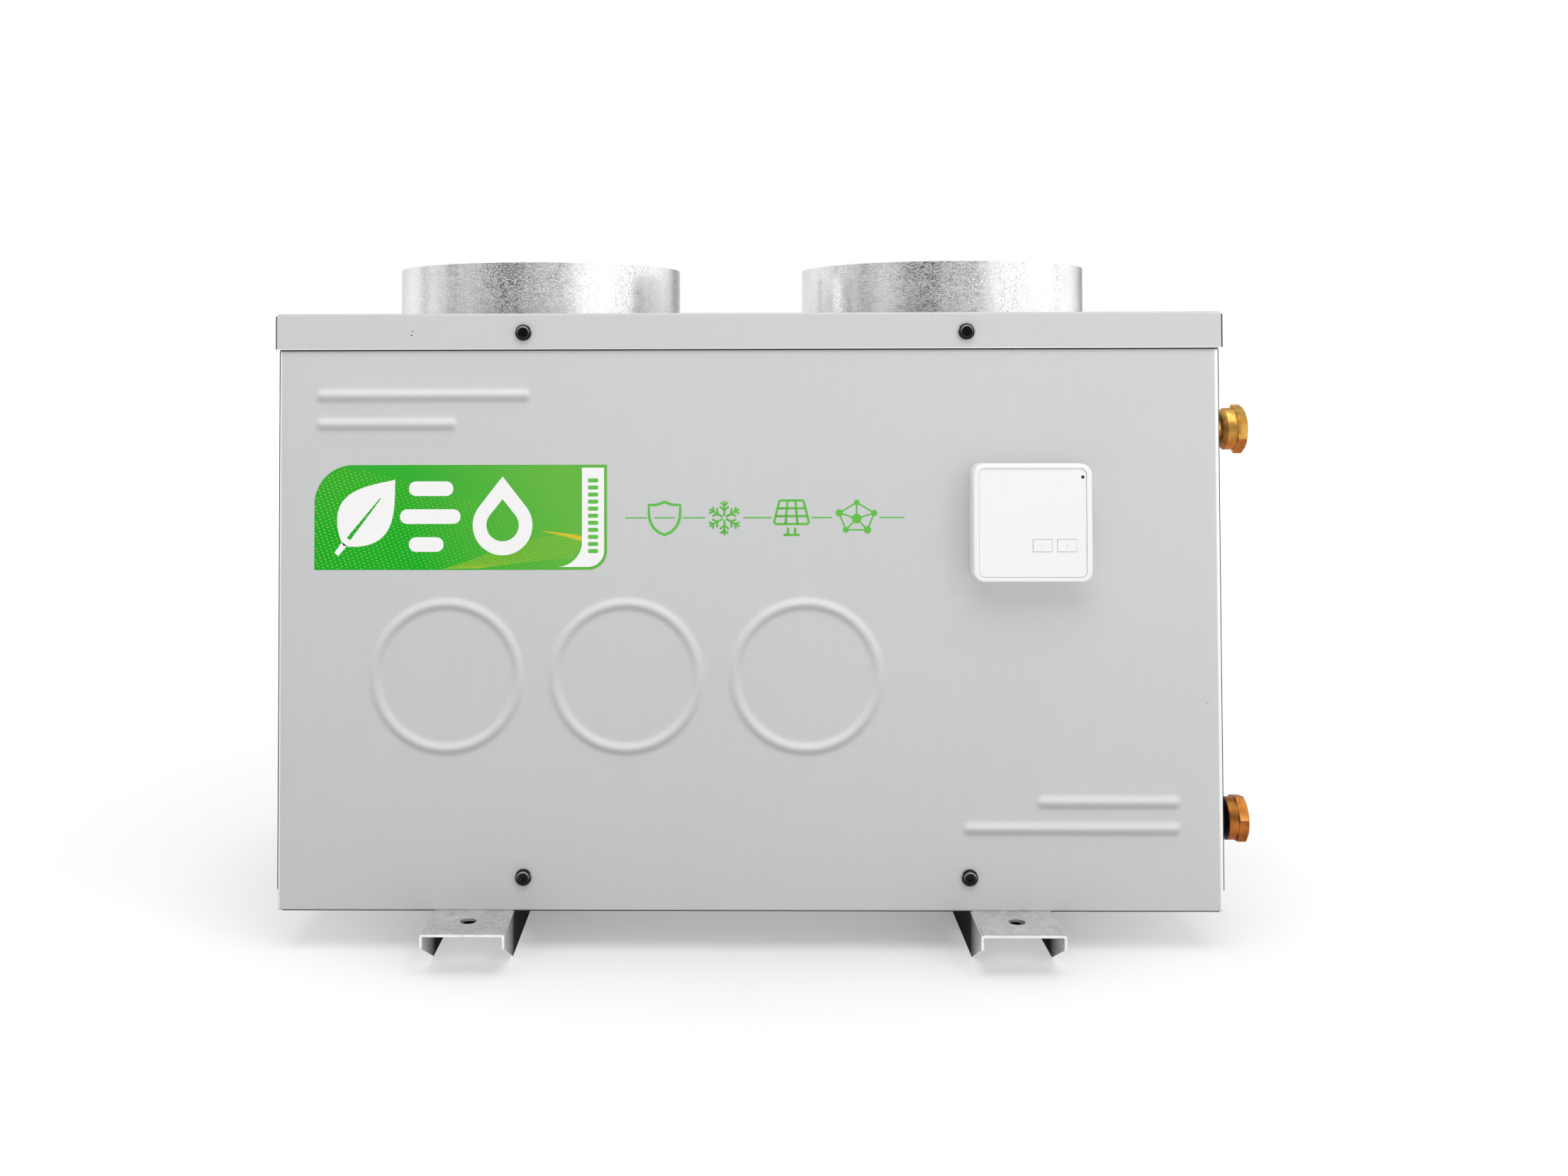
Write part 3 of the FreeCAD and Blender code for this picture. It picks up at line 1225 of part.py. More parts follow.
def exchanger():
    """Brazed plate heat exchanger with ribbed sides, and its foot bracket."""
    half_width, half_deep = "37", "22"
    core = box((f"exchanger_x - {half_width}", f"union_y - {half_deep} + 2", "exchanger_low"),
               (f"exchanger_x + {half_width}", f"union_y + {half_deep}", "exchanger_high"))
    grooves = []
    for i in range(8):
        y = f"union_y - 16 + {i} * 4.6"
        for side in ("-", "+"):
            x = f"exchanger_x {side} {half_width}"
            grooves.append(box((f"{x} - 1.2", y, "exchanger_low + 6"),
                               (f"{x} + 1.2", f"{y} + 1.6", "exchanger_high - 6")))
    stubs = [cylinder("9", "10", ("exchanger_x + 20", "union_y", "exchanger_high")),
             cylinder("9", "10", ("exchanger_x", "union_y", "exchanger_low - 10"))]
    bores = [cylinder("7.6", "14", ("exchanger_x + 20", "union_y", "exchanger_high - 3")),
             cylinder("7.6", "14", ("exchanger_x", "union_y", "exchanger_low - 11"))]
    keep(less(joined([less(core, grooves)] + stubs), bores), "plate_heat_exchanger")


def circulation_pump():
    """Wet rotor pump: volute with two ports in line, and its motor head behind."""
    volute = cylinder("30", "26", ("pump_x", "union_y - 13", "union_low"), ALONG_Y)
    ports = cylinder("12", "84", ("pump_x - 42", "union_y", "union_low"), ALONG_X)
    bore = cylinder("7.6", "90", ("pump_x - 45", "union_y", "union_low"), ALONG_X)
    keep(less(joined([volute, ports]), [bore]), "pump_volute")
    head = joined([cylinder("32", "4", ("pump_x", "union_y + 13.1", "union_low"), ALONG_Y),
                   cylinder("27", "52", ("pump_x", "union_y + 13.1", "union_low"), ALONG_Y),
                   box(("pump_x - 18", "union_y + 20", "union_low + 20"),
                       ("pump_x + 18", "union_y + 56", "union_low + 40"))])
    keep(head, "pump_motor")


def water_pipes():
    """Flow pipe from the exchanger and return pipe through the pump, both up to the union tails."""
    radius = size("tail_pipe")
    inner_end = f"{SIDE} - tail_inside"
    flow = [spot("exchanger_x + 20", "union_y", "exchanger_high - 2"),
            spot("exchanger_x + 20", "union_y", "union_high"),
            spot(f"{inner_end} - 0.2", "union_y", "union_high")]
    back = [spot("pump_x - 30", "union_y", "union_low"), spot("exchanger_x", "union_y", "union_low"),
            spot("exchanger_x", "union_y", "exchanger_low + 2")]
    shaped("water_pipes", Part.makeCompound([tube(flow, 16, radius, 1.5), tube(back, 16, radius, 1.5)]))


# ---- electrics ----

def electrics():
    """Open-fronted box with the control board and the terminal block inside."""
    left, right = "-276", "-72"
    front, back = f"{FRONT} + skin + 4", f"{FRONT} + skin + 50"
    low, high = "78", "286"
    outer = box((left, front, low), (right, back, high))
    inner = box((f"{left} + skin", f"{front} - 1", f"{low} + skin"),
                (f"{right} - skin", f"{back} - skin", f"{high} - skin"))
    keep(less(outer, [inner]), "electrical_box")

    deep = f"{back} - skin"
    rear = f"{deep} - 8"
    face = f"{rear} - board_thick"
    board = box((f"{left} + 8", face, "150"), (f"{right} - 60", rear, "276"))
    relays = []
    for i in range(4):
        start = f"{left} + {12 + 24 * i}"
        relays.append(box((start, f"{deep} - 26", "160"), (f"{start} + 18", face, "176")))
    heat_sink = box((f"{left} + 20", f"{deep} - 34", "200"), (f"{left} + 70", face, "230"))
    posts = [cylinder("3", "8", (f"{left} + {x}", rear, z), ALONG_Y)
             for x in (14, 130) for z in ("154", "272")]
    keep(joined([board, heat_sink] + relays + posts), "control_board")
    block = box((f"{left} + 10", f"{deep} - 24", "90"), (f"{left} + 106", deep, "116"))
    slots = [cylinder("3.2", "14", (f"{left} + {18 + 10 * i}", f"{deep} - 30", "103"), ALONG_Y)
             for i in range(9)]
    keep(less(block, slots), "terminal_block")


def build():
    base_tray()
    front_panel()
    back_panel()
    side_panel("left_side_panel", -1)
    side_panel("right_side_panel", 1)
    top_lid()
    casing_screws()
    foot_rail("left_foot_rail", "rail_left")
    foot_rail("right_foot_rail", "rail_right")
    foot_rail_fasteners()
    duct_collar("intake_collar", "intake_x")
    duct_collar("exhaust_collar", "exhaust_x")
    collar_rivets()
    front_label()
    controller_housing()
    controller_faceplate()
    controller_key("minus_key", 0)
    controller_key("plus_key", 1)
    controller_insides()
    water_union("upper", "union_high", "union_reach", 37, "0.4")
    water_union("lower", "union_low", "(union_reach - union_low_inset)", 8, "tail_hex_length")
    condensate_spout()
    cable_gland()
    compressor()
    compressor_mounts()
    compressor_extras()
    evaporator()
    condensate_pan()
    air_partition()
    fan_scroll()
    fan_impeller()
    fan_motor()
    exhaust_adapter()
    exchanger()
    circulation_pump()
    water_pipes()
    refrigerant_pipes()
    drier_and_valve()
    electrics()


def check_and_write():
    """Stop on any failed object or bad shape, then write one STEP file for each sub-part."""
    doc.recompute()
    failed = [thing.Label for thing in doc.Objects if {"Invalid", "Error"} & set(thing.State)]
    bad = [thing.Label for thing in subparts
           if thing.Shape.isNull() or not thing.Shape.isValid() or not thing.Shape.Solids]
    if failed or bad:
        raise RuntimeError(f"failed objects: {failed}; bad shapes: {bad}")
    os.makedirs("parts", exist_ok=True)
    for thing in subparts:
        thing.Shape.exportStep(f"parts/{thing.Label}.step")
        print(f"{thing.Label:28s} {len(thing.Shape.Solids):3d} solids {thing.Shape.Volume / 1000:9.2f} cm3")
    print(len(subparts), "sub-parts")


build()
check_and_write()
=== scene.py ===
"""Looks, light and camera for the ducted heat unit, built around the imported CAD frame.

Metres in the row frame. Flat artwork on the front panel is drawn in millimetres: across runs to the
right from the panel's middle and up rises from the floor.
"""
import json
import math

import bmesh
import bpy
from mathutils import Matrix, Vector

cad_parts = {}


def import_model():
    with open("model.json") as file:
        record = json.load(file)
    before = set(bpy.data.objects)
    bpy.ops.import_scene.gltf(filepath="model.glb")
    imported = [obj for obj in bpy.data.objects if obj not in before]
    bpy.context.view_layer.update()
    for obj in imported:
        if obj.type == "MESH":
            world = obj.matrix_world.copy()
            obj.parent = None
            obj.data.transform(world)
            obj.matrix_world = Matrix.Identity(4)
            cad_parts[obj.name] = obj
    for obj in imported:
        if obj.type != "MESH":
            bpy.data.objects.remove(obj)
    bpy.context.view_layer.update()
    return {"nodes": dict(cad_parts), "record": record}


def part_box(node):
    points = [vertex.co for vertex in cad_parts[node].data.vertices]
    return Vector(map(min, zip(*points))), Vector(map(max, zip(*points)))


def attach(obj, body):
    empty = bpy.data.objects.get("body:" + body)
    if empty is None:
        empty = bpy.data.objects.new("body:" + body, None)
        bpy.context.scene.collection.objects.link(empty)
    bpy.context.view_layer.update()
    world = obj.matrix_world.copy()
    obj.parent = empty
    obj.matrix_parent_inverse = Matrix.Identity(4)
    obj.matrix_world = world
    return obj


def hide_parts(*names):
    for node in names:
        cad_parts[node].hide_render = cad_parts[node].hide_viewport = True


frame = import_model()

MM = 0.001
TURN = 2 * math.pi
CASING = "casing"


def srgb(red, green, blue):
    """Linear colour of a screen colour from 0 to 255."""
    linear = []
    for value in (red, green, blue):
        share = value / 255
        linear.append(share / 12.92 if share <= 0.04045 else ((share + 0.055) / 1.055) ** 2.4)
    return (*linear, 1.0)


# ---- places on the front panel ----

panel_low, panel_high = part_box("front_panel")
BEAD_RISE = 1.3 * MM
CENTRE_X = (panel_low.x + panel_high.x) / 2
FRONT_Y = panel_low.y + BEAD_RISE


# ---- materials ----

# Places of a colour Mix node's sockets.
MIX_FIRST, MIX_SECOND, MIX_RESULT = 6, 7, 2


def connect(tree, socket, value):
    """Feeds a socket from another node's socket, or sets it to a plain number or colour."""
    if isinstance(value, bpy.types.NodeSocket):
        tree.links.new(value, socket)
    else:
        socket.default_value = value


def add_node(tree, kind, inputs, **settings):
    """A new node with its settings and with its inputs fed."""
    node = tree.nodes.new(kind)
    for key, value in settings.items():
        setattr(node, key, value)
    for key, value in inputs.items():
        connect(tree, node.inputs[key], value)
    return node


class Look:
    """A material with a Principled shader, and short calls for the nodes that feed it.

    Plain numbers go straight to the shader's own sockets. Nodes get the object's coordinates.
    """

    def __init__(self, name, roughness=0.5, metallic=0.0, specular=0.5):
        self.material = bpy.data.materials.new(name)
        self.material.use_nodes = True
        self.tree = self.material.node_tree
        self.shader = self.tree.nodes["Principled BSDF"]
        self.feed("Roughness", roughness)
        self.feed("Metallic", metallic)
        self.feed("Specular IOR Level", specular)
        self.place = self.add("ShaderNodeTexCoord", {}).outputs["Object"]

    def add(self, kind, inputs, **settings):
        return add_node(self.tree, kind, inputs, **settings)

    def feed(self, name, value):
        """Feeds one of the shader's own sockets."""
        connect(self.tree, self.shader.inputs[name], value)

    def stretched(self, x=1.0, y=1.0, z=1.0):
        return self.add("ShaderNodeMapping", {"Scale": (x, y, z), "Vector": self.place}).outputs["Vector"]

    def noise(self, scale, detail=2.0, place=None, roughness=0.5, distortion=0.0):
        inputs = {"Vector": place or self.place, "Scale": scale, "Detail": detail,
                  "Roughness": roughness, "Distortion": distortion}
        return self.add("ShaderNodeTexNoise", inputs).outputs["Fac"]

    def cells(self, scale, place=None, kind="F1", output="Color"):
        inputs = {"Vector": place or self.place, "Scale": scale}
        return self.add("ShaderNodeTexVoronoi", inputs, feature=kind).outputs[output]

    def bent(self, scale, amount):
        """The object's coordinates pushed about by noise."""
        noise = self.add("ShaderNodeTexNoise", {"Vector": self.place, "Scale": scale})
        inputs = {0: noise.outputs["Color"], 1: (amount, amount, amount), 2: self.place}
        return self.add("ShaderNodeVectorMath", inputs, operation="MULTIPLY_ADD").outputs["Vector"]

    def maths(self, operation, first, second=0.0, clamp=False):
        node = self.add("ShaderNodeMath", {0: first, 1: second}, operation=operation, use_clamp=clamp)
        return node.outputs["Value"]

    def spread(self, value, low, high, from_low=0.0, from_high=1.0):
        """A value moved from one range to another, and held inside it."""
        inputs = {"Value": value, "From Min": from_low, "From Max": from_high, "To Min": low, "To Max": high}
        return self.add("ShaderNodeMapRange", inputs).outputs["Result"]

    def blend(self, share, first, second, how="MIX"):
        inputs = {"Factor": share, MIX_FIRST: first, MIX_SECOND: second}
        return self.add("ShaderNodeMix", inputs, data_type="RGBA", blend_type=how).outputs[MIX_RESULT]

    def grey(self, value):
        inputs = {"Red": value, "Green": value, "Blue": value}
        return self.add("ShaderNodeCombineColor", inputs).outputs["Color"]

    def axis(self, letter):
        return self.add("ShaderNodeSeparateXYZ", {"Vector": self.place}).outputs[letter]

    def facing(self, letter):
        """How far the surface faces along an axis: 1 along it, 0 across it and -1 against it."""
        normal = self.add("ShaderNodeNewGeometry", {}).outputs["Normal"]
        return self.add("ShaderNodeSeparateXYZ", {"Vector": normal}).outputs[letter]

    def near(self, letter, place, reach):
        """1 at a place along an axis, falling to 0 at that reach from it, in metres."""
        away = self.maths("ABSOLUTE", self.maths("SUBTRACT", self.axis(letter), place))
        return self.spread(away, 1.0, 0.0, 0.6 * reach, reach)

    def shade(self, colour, *layers):
        """The base colour: one colour times several grey layers, each near 1."""
        for layer in layers:
            colour = self.blend(1.0, colour, self.grey(layer), "MULTIPLY")
        self.feed("Base Color", colour)

    def rough(self, value):
        self.feed("Roughness", value)

    def bump(self, height, depth, strength=1.0):
        """Adds a relief of that depth in metres on top of any bump already there."""
        inputs = {"Height": height, "Distance": depth, "Strength": strength}
        normal = self.shader.inputs["Normal"]
        if normal.is_linked:
            inputs["Normal"] = normal.links[0].from_socket
        self.feed("Normal", self.add("ShaderNodeBump", inputs).outputs["Normal"])


def powder_coat(name, colour, painted_highlight_edges=(), pressed=0.0, drifts=()):
    """Light grey powder coat: a fine leathery skin with faint clouds of tone.

    The edge list holds (axis letter, place, reach) of edges painted paler as painted highlights; the ones
    along X are only on the front. pressed is how far the upper and lower flanks of the pressings are
    painted paler and darker, as painted light and shade. drifts holds slow changes of tone along an
    axis, painted as shade: (axis letter, low place, high place, low tone, high tone).
    """
    look = Look(name, specular=0.45)
    grain = look.noise(2300, 2)
    peel = look.noise(620, 2)
    cloud = look.noise(7, 3)
    streak = look.noise(1, 3, look.stretched(420, 420, 26))
    # Painted highlights: the listed edges are painted paler.
    for letter, place, reach in painted_highlight_edges:
        share = look.near(letter, place, reach)
        if letter == "X":
            in_front = look.spread(look.axis("Y"), 1.0, 0.0, FRONT_Y + 0.4 * MM, FRONT_Y + 1.4 * MM)
            share = look.maths("MULTIPLY", share, in_front)
        colour = look.blend(share, colour, PAINTED_EDGE_HIGHLIGHT)
    layers = [look.spread(grain, 0.90, 1.08), look.spread(cloud, 0.975, 1.025),
              look.spread(streak, 0.975, 1.02)]
    # Painted light and shade: upward faces are painted paler and downward faces darker.
    if pressed:
        layers.append(look.spread(look.facing("Z"), 1 - pressed, 1 + pressed, -0.3, 0.3))
    # Painted shade: a slow darkening along an axis.
    for letter, low, high, low_tone, high_tone in drifts:
        layers.append(look.spread(look.axis(letter), low_tone, high_tone, low, high))
    look.shade(colour, *layers)
    look.rough(look.spread(look.noise(60, 2), 0.40, 0.52))
    look.bump(peel, 0.00006, 0.5)
    look.bump(grain, 0.00004, 0.5)
    return look.material


def galvanised(name, colour, low=0.11, high=0.2, crystals=0.04):
    """Hot-dipped zinc: bright, with upright drifts of fine dark specks and faint crystals.

    Returns the look, so that a caller can add to it.
    """
    look = Look(name, metallic=1.0)
    crystal = look.cells(260, look.bent(70, 0.006))
    drift = look.spread(look.noise(1, 2, look.stretched(34, 34, 7)), 0.15, 1.0, 0.44, 0.6)
    specks = look.spread(look.noise(820, 2.0, None, 0.6, 0.9), 0.0, 1.0, 0.5, 0.62)
    relief = look.maths("MULTIPLY", specks, drift)
    streak = look.noise(1, 3, look.stretched(170, 170, 6))
    look.shade(colour, look.spread(crystal, 1 - crystals, 1 + crystals),
               look.spread(streak, 0.94, 1.05), look.spread(relief, 1.03, 0.66))
    look.rough(look.maths("ADD", look.spread(crystal, low, high), look.spread(relief, 0.0, 0.1)))
    look.bump(specks, 0.00005, 0.6)
    return look


def rail_zinc(name, colour, half_length):
    """Zinc on a foot rail: dull, with painted shade that darkens its holes and its flanges away from the two
    ends.
    """
    look = galvanised(name, colour, 0.24, 0.36, 0.07)
    # Painted shade: upright faces away from the two ends are painted near black and lose their shine.
    upright = look.spread(look.maths("ABSOLUTE", look.facing("Z")), 1.0, 0.0, 0.3, 0.6)
    along = look.maths("ABSOLUTE", look.axis("Y"))
    inward = look.spread(along, 1.0, 0.4, half_length - 44 * MM, half_length - 3 * MM)
    cut_end = look.spread(along, 1.0, 0.0, half_length - 1.2 * MM, half_length - 0.4 * MM)
    dark = look.maths("MULTIPLY", upright, look.maths("MULTIPLY", inward, cut_end))
    zinc = look.shader.inputs["Base Color"].links[0].from_socket
    look.feed("Base Color", look.blend(dark, zinc, RAIL_SHADE))
    look.feed("Metallic", look.maths("SUBTRACT", 1.0, dark))
    look.feed("Specular IOR Level", 0.0)
    return look.material


def brass(name, colour, cast, under, skin, shadowed_end=None):
    """Brass with a lightly cast skin: patches of the cast colour, small dents, a browner underside as
    painted shade.

    skin is the dents' depth. The place along X, when given, is where the rim is painted black as a painted
    shadow.
    """
    look = Look(name, metallic=1.0)
    tarnish = look.spread(look.noise(140, 4), 0.0, 1.0, 0.35, 0.68)
    mixed = look.blend(tarnish, colour, cast)
    # Painted shade: downward faces are blended to the browner under colour.
    mixed = look.blend(look.spread(look.facing("Z"), 1.0, 0.0, -0.75, 0.25), mixed, under)
    # Painted shadow: a black band round the rim at that place.
    if shadowed_end is not None:
        mixed = look.blend(look.near("X", shadowed_end, 3.2 * MM), mixed, END_SHADOW)
    look.shade(mixed, look.spread(look.noise(110, 3), 0.66, 1.25, 0.36, 0.64),
               look.spread(look.noise(1100, 3), 0.84, 1.1), look.spread(look.noise(2600, 2), 0.9, 1.06))
    look.rough(look.spread(look.noise(420, 3), 0.34, 0.52))
    look.bump(look.noise(520, 3), skin, 0.5)
    look.bump(look.noise(1900, 2), skin * 0.4, 0.4)
    return look.material


def bare_metal(name, colour, low, high, grain):
    """Rolled or drawn metal. grain is how fine its lines are across each axis."""
    look = Look(name, metallic=1.0)
    lines = look.noise(1, 3, look.stretched(*grain))
    look.shade(colour, look.spread(lines, 0.9, 1.07), look.spread(look.noise(35, 3), 0.9, 1.06))
    look.rough(look.spread(look.noise(180, 3), low, high))
    look.bump(lines, 0.00003, 0.35)
    return look.material


def enamel(name, colour, low, high):
    """A dark paint film with a slight ripple and faint clouds of tone."""
    look = Look(name)
    look.shade(colour, look.spread(look.noise(240, 3), 0.8, 1.25),
               look.spread(look.noise(20, 2), 0.85, 1.15))
    look.rough(look.spread(look.noise(130, 3), low, high))
    look.bump(look.noise(700, 2), 0.00003, 0.5)
    return look.material


def screw_paint(name, colour, highlight_colour):
    """Glossy black paint with a painted highlight: a light arc on the upper side of each rounded edge."""
    look = Look(name, specular=0.15)
    # The painted highlight: a band on each rounded edge, kept to its upper side.
    outward = look.maths("MAXIMUM", look.maths("ABSOLUTE", look.facing("X")),
                         look.maths("ABSOLUTE", look.facing("Y")))
    rounding = look.maths("MULTIPLY", look.spread(outward, 0.0, 1.0, 0.8, 0.88),
                          look.spread(outward, 1.0, 0.0, 0.97, 0.995))
    highlight_mask = look.maths("MULTIPLY", rounding, look.spread(look.facing("Z"), 0.03, 1.0, -0.1, 0.35))
    look.shade(look.blend(highlight_mask, colour, highlight_colour), look.spread(look.noise(240, 3), 0.8, 1.2))
    look.rough(look.spread(look.noise(130, 3), 0.1, 0.16))
    look.bump(look.noise(700, 2), 0.000004, 0.5)
    return look.material


def moulded(name, colour, low, high, skin=0.00002, contrast=0.03, specular=0.5):
    """Injection-moulded plastic with a fine spark-eroded skin."""
    look = Look(name, specular=specular)
    fine = look.noise(3200, 2)
    look.shade(colour, look.spread(fine, 1 - contrast, 1 + contrast),
               look.spread(look.noise(30, 2), 1 - contrast, 1 + contrast / 2))
    look.rough(look.spread(look.noise(260, 2), low, high))
    look.bump(fine, skin, 0.5)
    return look.material


def printed(name, colour, far_colour=None, across_span=(), up_span=()):
    """Printing ink or label film.

    With a far colour it changes to that over across_span along X and, a little, over up_span along Z.
    """
    look = Look(name, specular=0.2)
    if far_colour:
        across = look.spread(look.axis("X"), 0.0, 1.0, *across_span)
        up = look.spread(look.axis("Z"), -0.12, 0.22, *up_span)
        colour = look.blend(look.maths("ADD", across, up, True), colour, far_colour)
    look.shade(colour, look.spread(look.noise(2300, 2), 0.97, 1.03),
               look.spread(look.noise(40, 2), 0.97, 1.02))
    look.rough(look.spread(look.noise(90, 2), 0.36, 0.48))
    look.bump(look.noise(620, 2), 0.00003, 0.4)
    return look.material


def circuit_board(name, mask, copper):
    """Solder mask over faint tracks."""
    look = Look(name, specular=0.6)
    tracks = look.spread(look.cells(260, look.stretched(1, 1, 0.35), "DISTANCE_TO_EDGE", "Distance"),
                         1.0, 0.0, 0.02, 0.05)
    look.shade(look.blend(tracks, mask, copper), look.spread(look.noise(500, 2), 0.9, 1.1))
    look.rough(look.spread(look.noise(200, 2), 0.3, 0.45))
    look.bump(tracks, 0.00003, 0.6)
    return look.material


def finned(name, colour):
    """Thin fins side by side: bright edges and gaps darkened by painted shade."""
    look = Look(name, metallic=1.0)
    inputs = {"Vector": look.place, "Scale": 90}
    fins = look.add("ShaderNodeTexWave", inputs, bands_direction="Y").outputs["Fac"]
    look.shade(colour, look.spread(fins, 0.35, 1.0), look.spread(look.noise(60, 3), 0.85, 1.05))
    look.rough(look.spread(look.noise(150, 2), 0.3, 0.5))
    look.bump(fins, 0.0004, 0.8)
    return look.material


GREEN = srgb(97, 186, 70)
PAINT = srgb(203, 204, 204)
# The colour of the painted highlights along edges.
PAINTED_EDGE_HIGHLIGHT = srgb(248, 248, 248)
# The near black of the painted shade on the rails.
RAIL_SHADE = (0.03, 0.03, 0.03, 1)
# The black of the painted shadow at the lower nut's rim end.
END_SHADOW = (0.012, 0.012, 0.018, 1)
looks = {
    "casing_paint": powder_coat("powder_coat_grey", PAINT),
    "galvanised_steel": galvanised("galvanised_sheet", (0.95, 0.95, 0.955, 1)).material,
    "black_screw": screw_paint("black_screw_paint", (0.003, 0.003, 0.003, 1), (0.32, 0.32, 0.32, 1)),
    "zinc_fastener": bare_metal("bright_zinc", (0.72, 0.71, 0.68, 1), 0.24, 0.4, (300, 300, 300)),
    "white_plastic": moulded("white_plastic", srgb(239, 239, 239), 0.34, 0.42, contrast=0.012),
    "circuit_board": circuit_board("solder_mask", srgb(24, 92, 48), srgb(96, 128, 64)),
    "indicator_lens": moulded("dark_lens", (0.006, 0.006, 0.006, 1), 0.3, 0.4, 0.000005, specular=0.15),
    "black_rubber": moulded("black_rubber", (0.014, 0.014, 0.016, 1), 0.5, 0.72, 0.00005, 0.12),
    "spring_steel": bare_metal("spring_steel", (0.6, 0.6, 0.6, 1), 0.22, 0.36, (300, 300, 300)),
    "grey_plastic": moulded("grey_plastic", srgb(142, 146, 149), 0.4, 0.55, 0.00003, 0.05),
    "black_plastic": moulded("black_plastic", (0.022, 0.022, 0.024, 1), 0.38, 0.55, 0.00003, 0.1),
    "black_enamel": enamel("black_enamel", (0.018, 0.018, 0.02, 1), 0.28, 0.46),
    "aluminium_fins": finned("aluminium_fins", (0.82, 0.83, 0.84, 1)),
    "copper_pipe": bare_metal("drawn_copper", (0.82, 0.42, 0.26, 1), 0.26, 0.44, (220, 220, 220)),
    "stainless": bare_metal("stainless_plate", (0.66, 0.66, 0.67, 1), 0.2, 0.34, (500, 500, 30)),
    "cast_iron": enamel("cast_iron_paint", srgb(58, 60, 64), 0.5, 0.7),
    "brass": brass("brass_machined", srgb(236, 194, 108), srgb(208, 158, 78), srgb(190, 124, 52), 0.00004),
    "green_label": printed("label_green", srgb(0, 168, 32), srgb(98, 178, 64),
                           (CENTRE_X - 212 * MM, CENTRE_X - 100 * MM), (234 * MM, 298 * MM)),
}
lid_low, lid_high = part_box("top_lid")
# Painted highlights on the front's side bends and the lid's lower edge. Painted light and shade on the
# flanks of the pressings. Painted shade darkens the front towards its foot and its left side, and the lid
# towards its left.
panel_highlight_edges = (("X", panel_low.x, 1.6 * MM), ("X", panel_high.x, 2.8 * MM))
panel_painted_shade = (("Z", panel_low.z, panel_high.z, 0.92, 1.0), ("X", panel_low.x, panel_high.x, 0.955, 1.025))
panel_paint = powder_coat("powder_coat_front", PAINT, panel_highlight_edges, 0.24, panel_painted_shade)
lid_highlight_edges = (("Z", lid_low.z, 0.5 * MM),)
lid_painted_shade = (("X", lid_low.x, lid_high.x, 0.95, 1.01),)
foot_zinc = rail_zinc("galvanised_rail", (0.88, 0.88, 0.885, 1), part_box("left_foot_rail")[1].y)
own_looks = {
    "top_lid": powder_coat("powder_coat_lid", PAINT, lid_highlight_edges, drifts=lid_painted_shade),
    # The lower nut's near rim end gets a painted shadow.
    "lower_union_nut": brass("brass_cast", srgb(192, 132, 68), srgb(168, 102, 44), srgb(156, 78, 30),
                             0.00012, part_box("lower_union_nut")[0].x),
    "upper_union_nut": brass("brass_sanded", srgb(246, 200, 108), srgb(224, 166, 78), srgb(178, 104, 40),
                             0.00008),
    "left_foot_rail": foot_zinc,
    "right_foot_rail": foot_zinc,
    "filter_drier": enamel("drier_paint", srgb(40, 44, 48), 0.4, 0.6),
    "fan_rotor_cup": bare_metal("cast_aluminium", (0.7, 0.71, 0.72, 1), 0.36, 0.55, (200, 200, 200)),
    "fan_stator": bare_metal("lamination_steel", (0.42, 0.42, 0.43, 1), 0.35, 0.5, (60, 1400, 60)),
}
ink_green = printed("ink_green", GREEN)
ink_white = printed("ink_white", srgb(240, 240, 239))
ink_yellow = printed("ink_yellow", srgb(188, 205, 52))
ink_amber = printed("ink_amber", srgb(214, 188, 44))
ink_grey = printed("ink_grey", srgb(196, 196, 196))
chip_dark = enamel("chipped_paint", srgb(18, 18, 18), 0.6, 0.8)


def dress_cad_nodes():
    """Gives every CAD node its own material, or else its slot's."""
    slots = {part["node"]: part["material_slot"] for part in frame["record"]["subparts"]}
    for name, node in frame["nodes"].items():
        node.data.materials.clear()
        node.data.materials.append(own_looks.get(name) or looks[slots[name]])


# ---- mesh helpers ----

def object_from(name, points, faces, material, body):
    mesh = bpy.data.meshes.new(name)
    mesh.from_pydata(points, [], faces)
    mesh.update()
    return finish_piece(name, mesh, material, body)


def finish_piece(name, mesh, material, body):
    piece = bpy.data.objects.new(name, mesh)
    bpy.context.scene.collection.objects.link(piece)
    mesh.materials.clear()
    mesh.materials.append(material)
    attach(piece, body)
    return piece


def closed_mesh(curve_data, keep_z=1.0):
    """A welded mesh of a curve, stood upright to face forward; keep_z squashes its thickness."""
    carrier = bpy.data.objects.new("carrier", curve_data)
    bpy.context.scene.collection.objects.link(carrier)
    bpy.context.view_layer.update()
    mesh = bpy.data.meshes.new_from_object(carrier.evaluated_get(bpy.context.evaluated_depsgraph_get()))
    bpy.data.objects.remove(carrier)
    bpy.data.curves.remove(curve_data)
    work = bmesh.new()
    work.from_mesh(mesh)
    bmesh.ops.remove_doubles(work, verts=work.verts, dist=1e-6)
    bmesh.ops.recalc_face_normals(work, faces=work.faces)
    work.to_mesh(mesh)
    work.free()
    flatten = Matrix.Diagonal((1, 1, keep_z, 1))
    mesh.transform(Matrix.Rotation(math.pi / 2, 4, "X") @ flatten)
    return mesh


def arc(across, up, radius, start, end, steps=14):
    """Points of an arc, with its angles in degrees."""
    points = []
    for i in range(steps + 1):
        angle = math.radians(start + (end - start) * i / steps)
        points.append((across + radius * math.cos(angle), up + radius * math.sin(angle)))
    return points


def bar(left, low, right, high):
    return [(left, low), (right, low), (right, high), (left, high)]


def rounded_bar(left, low, right, high, radius):
    return rounded([(across, up, radius) for across, up in bar(left, low, right, high)])


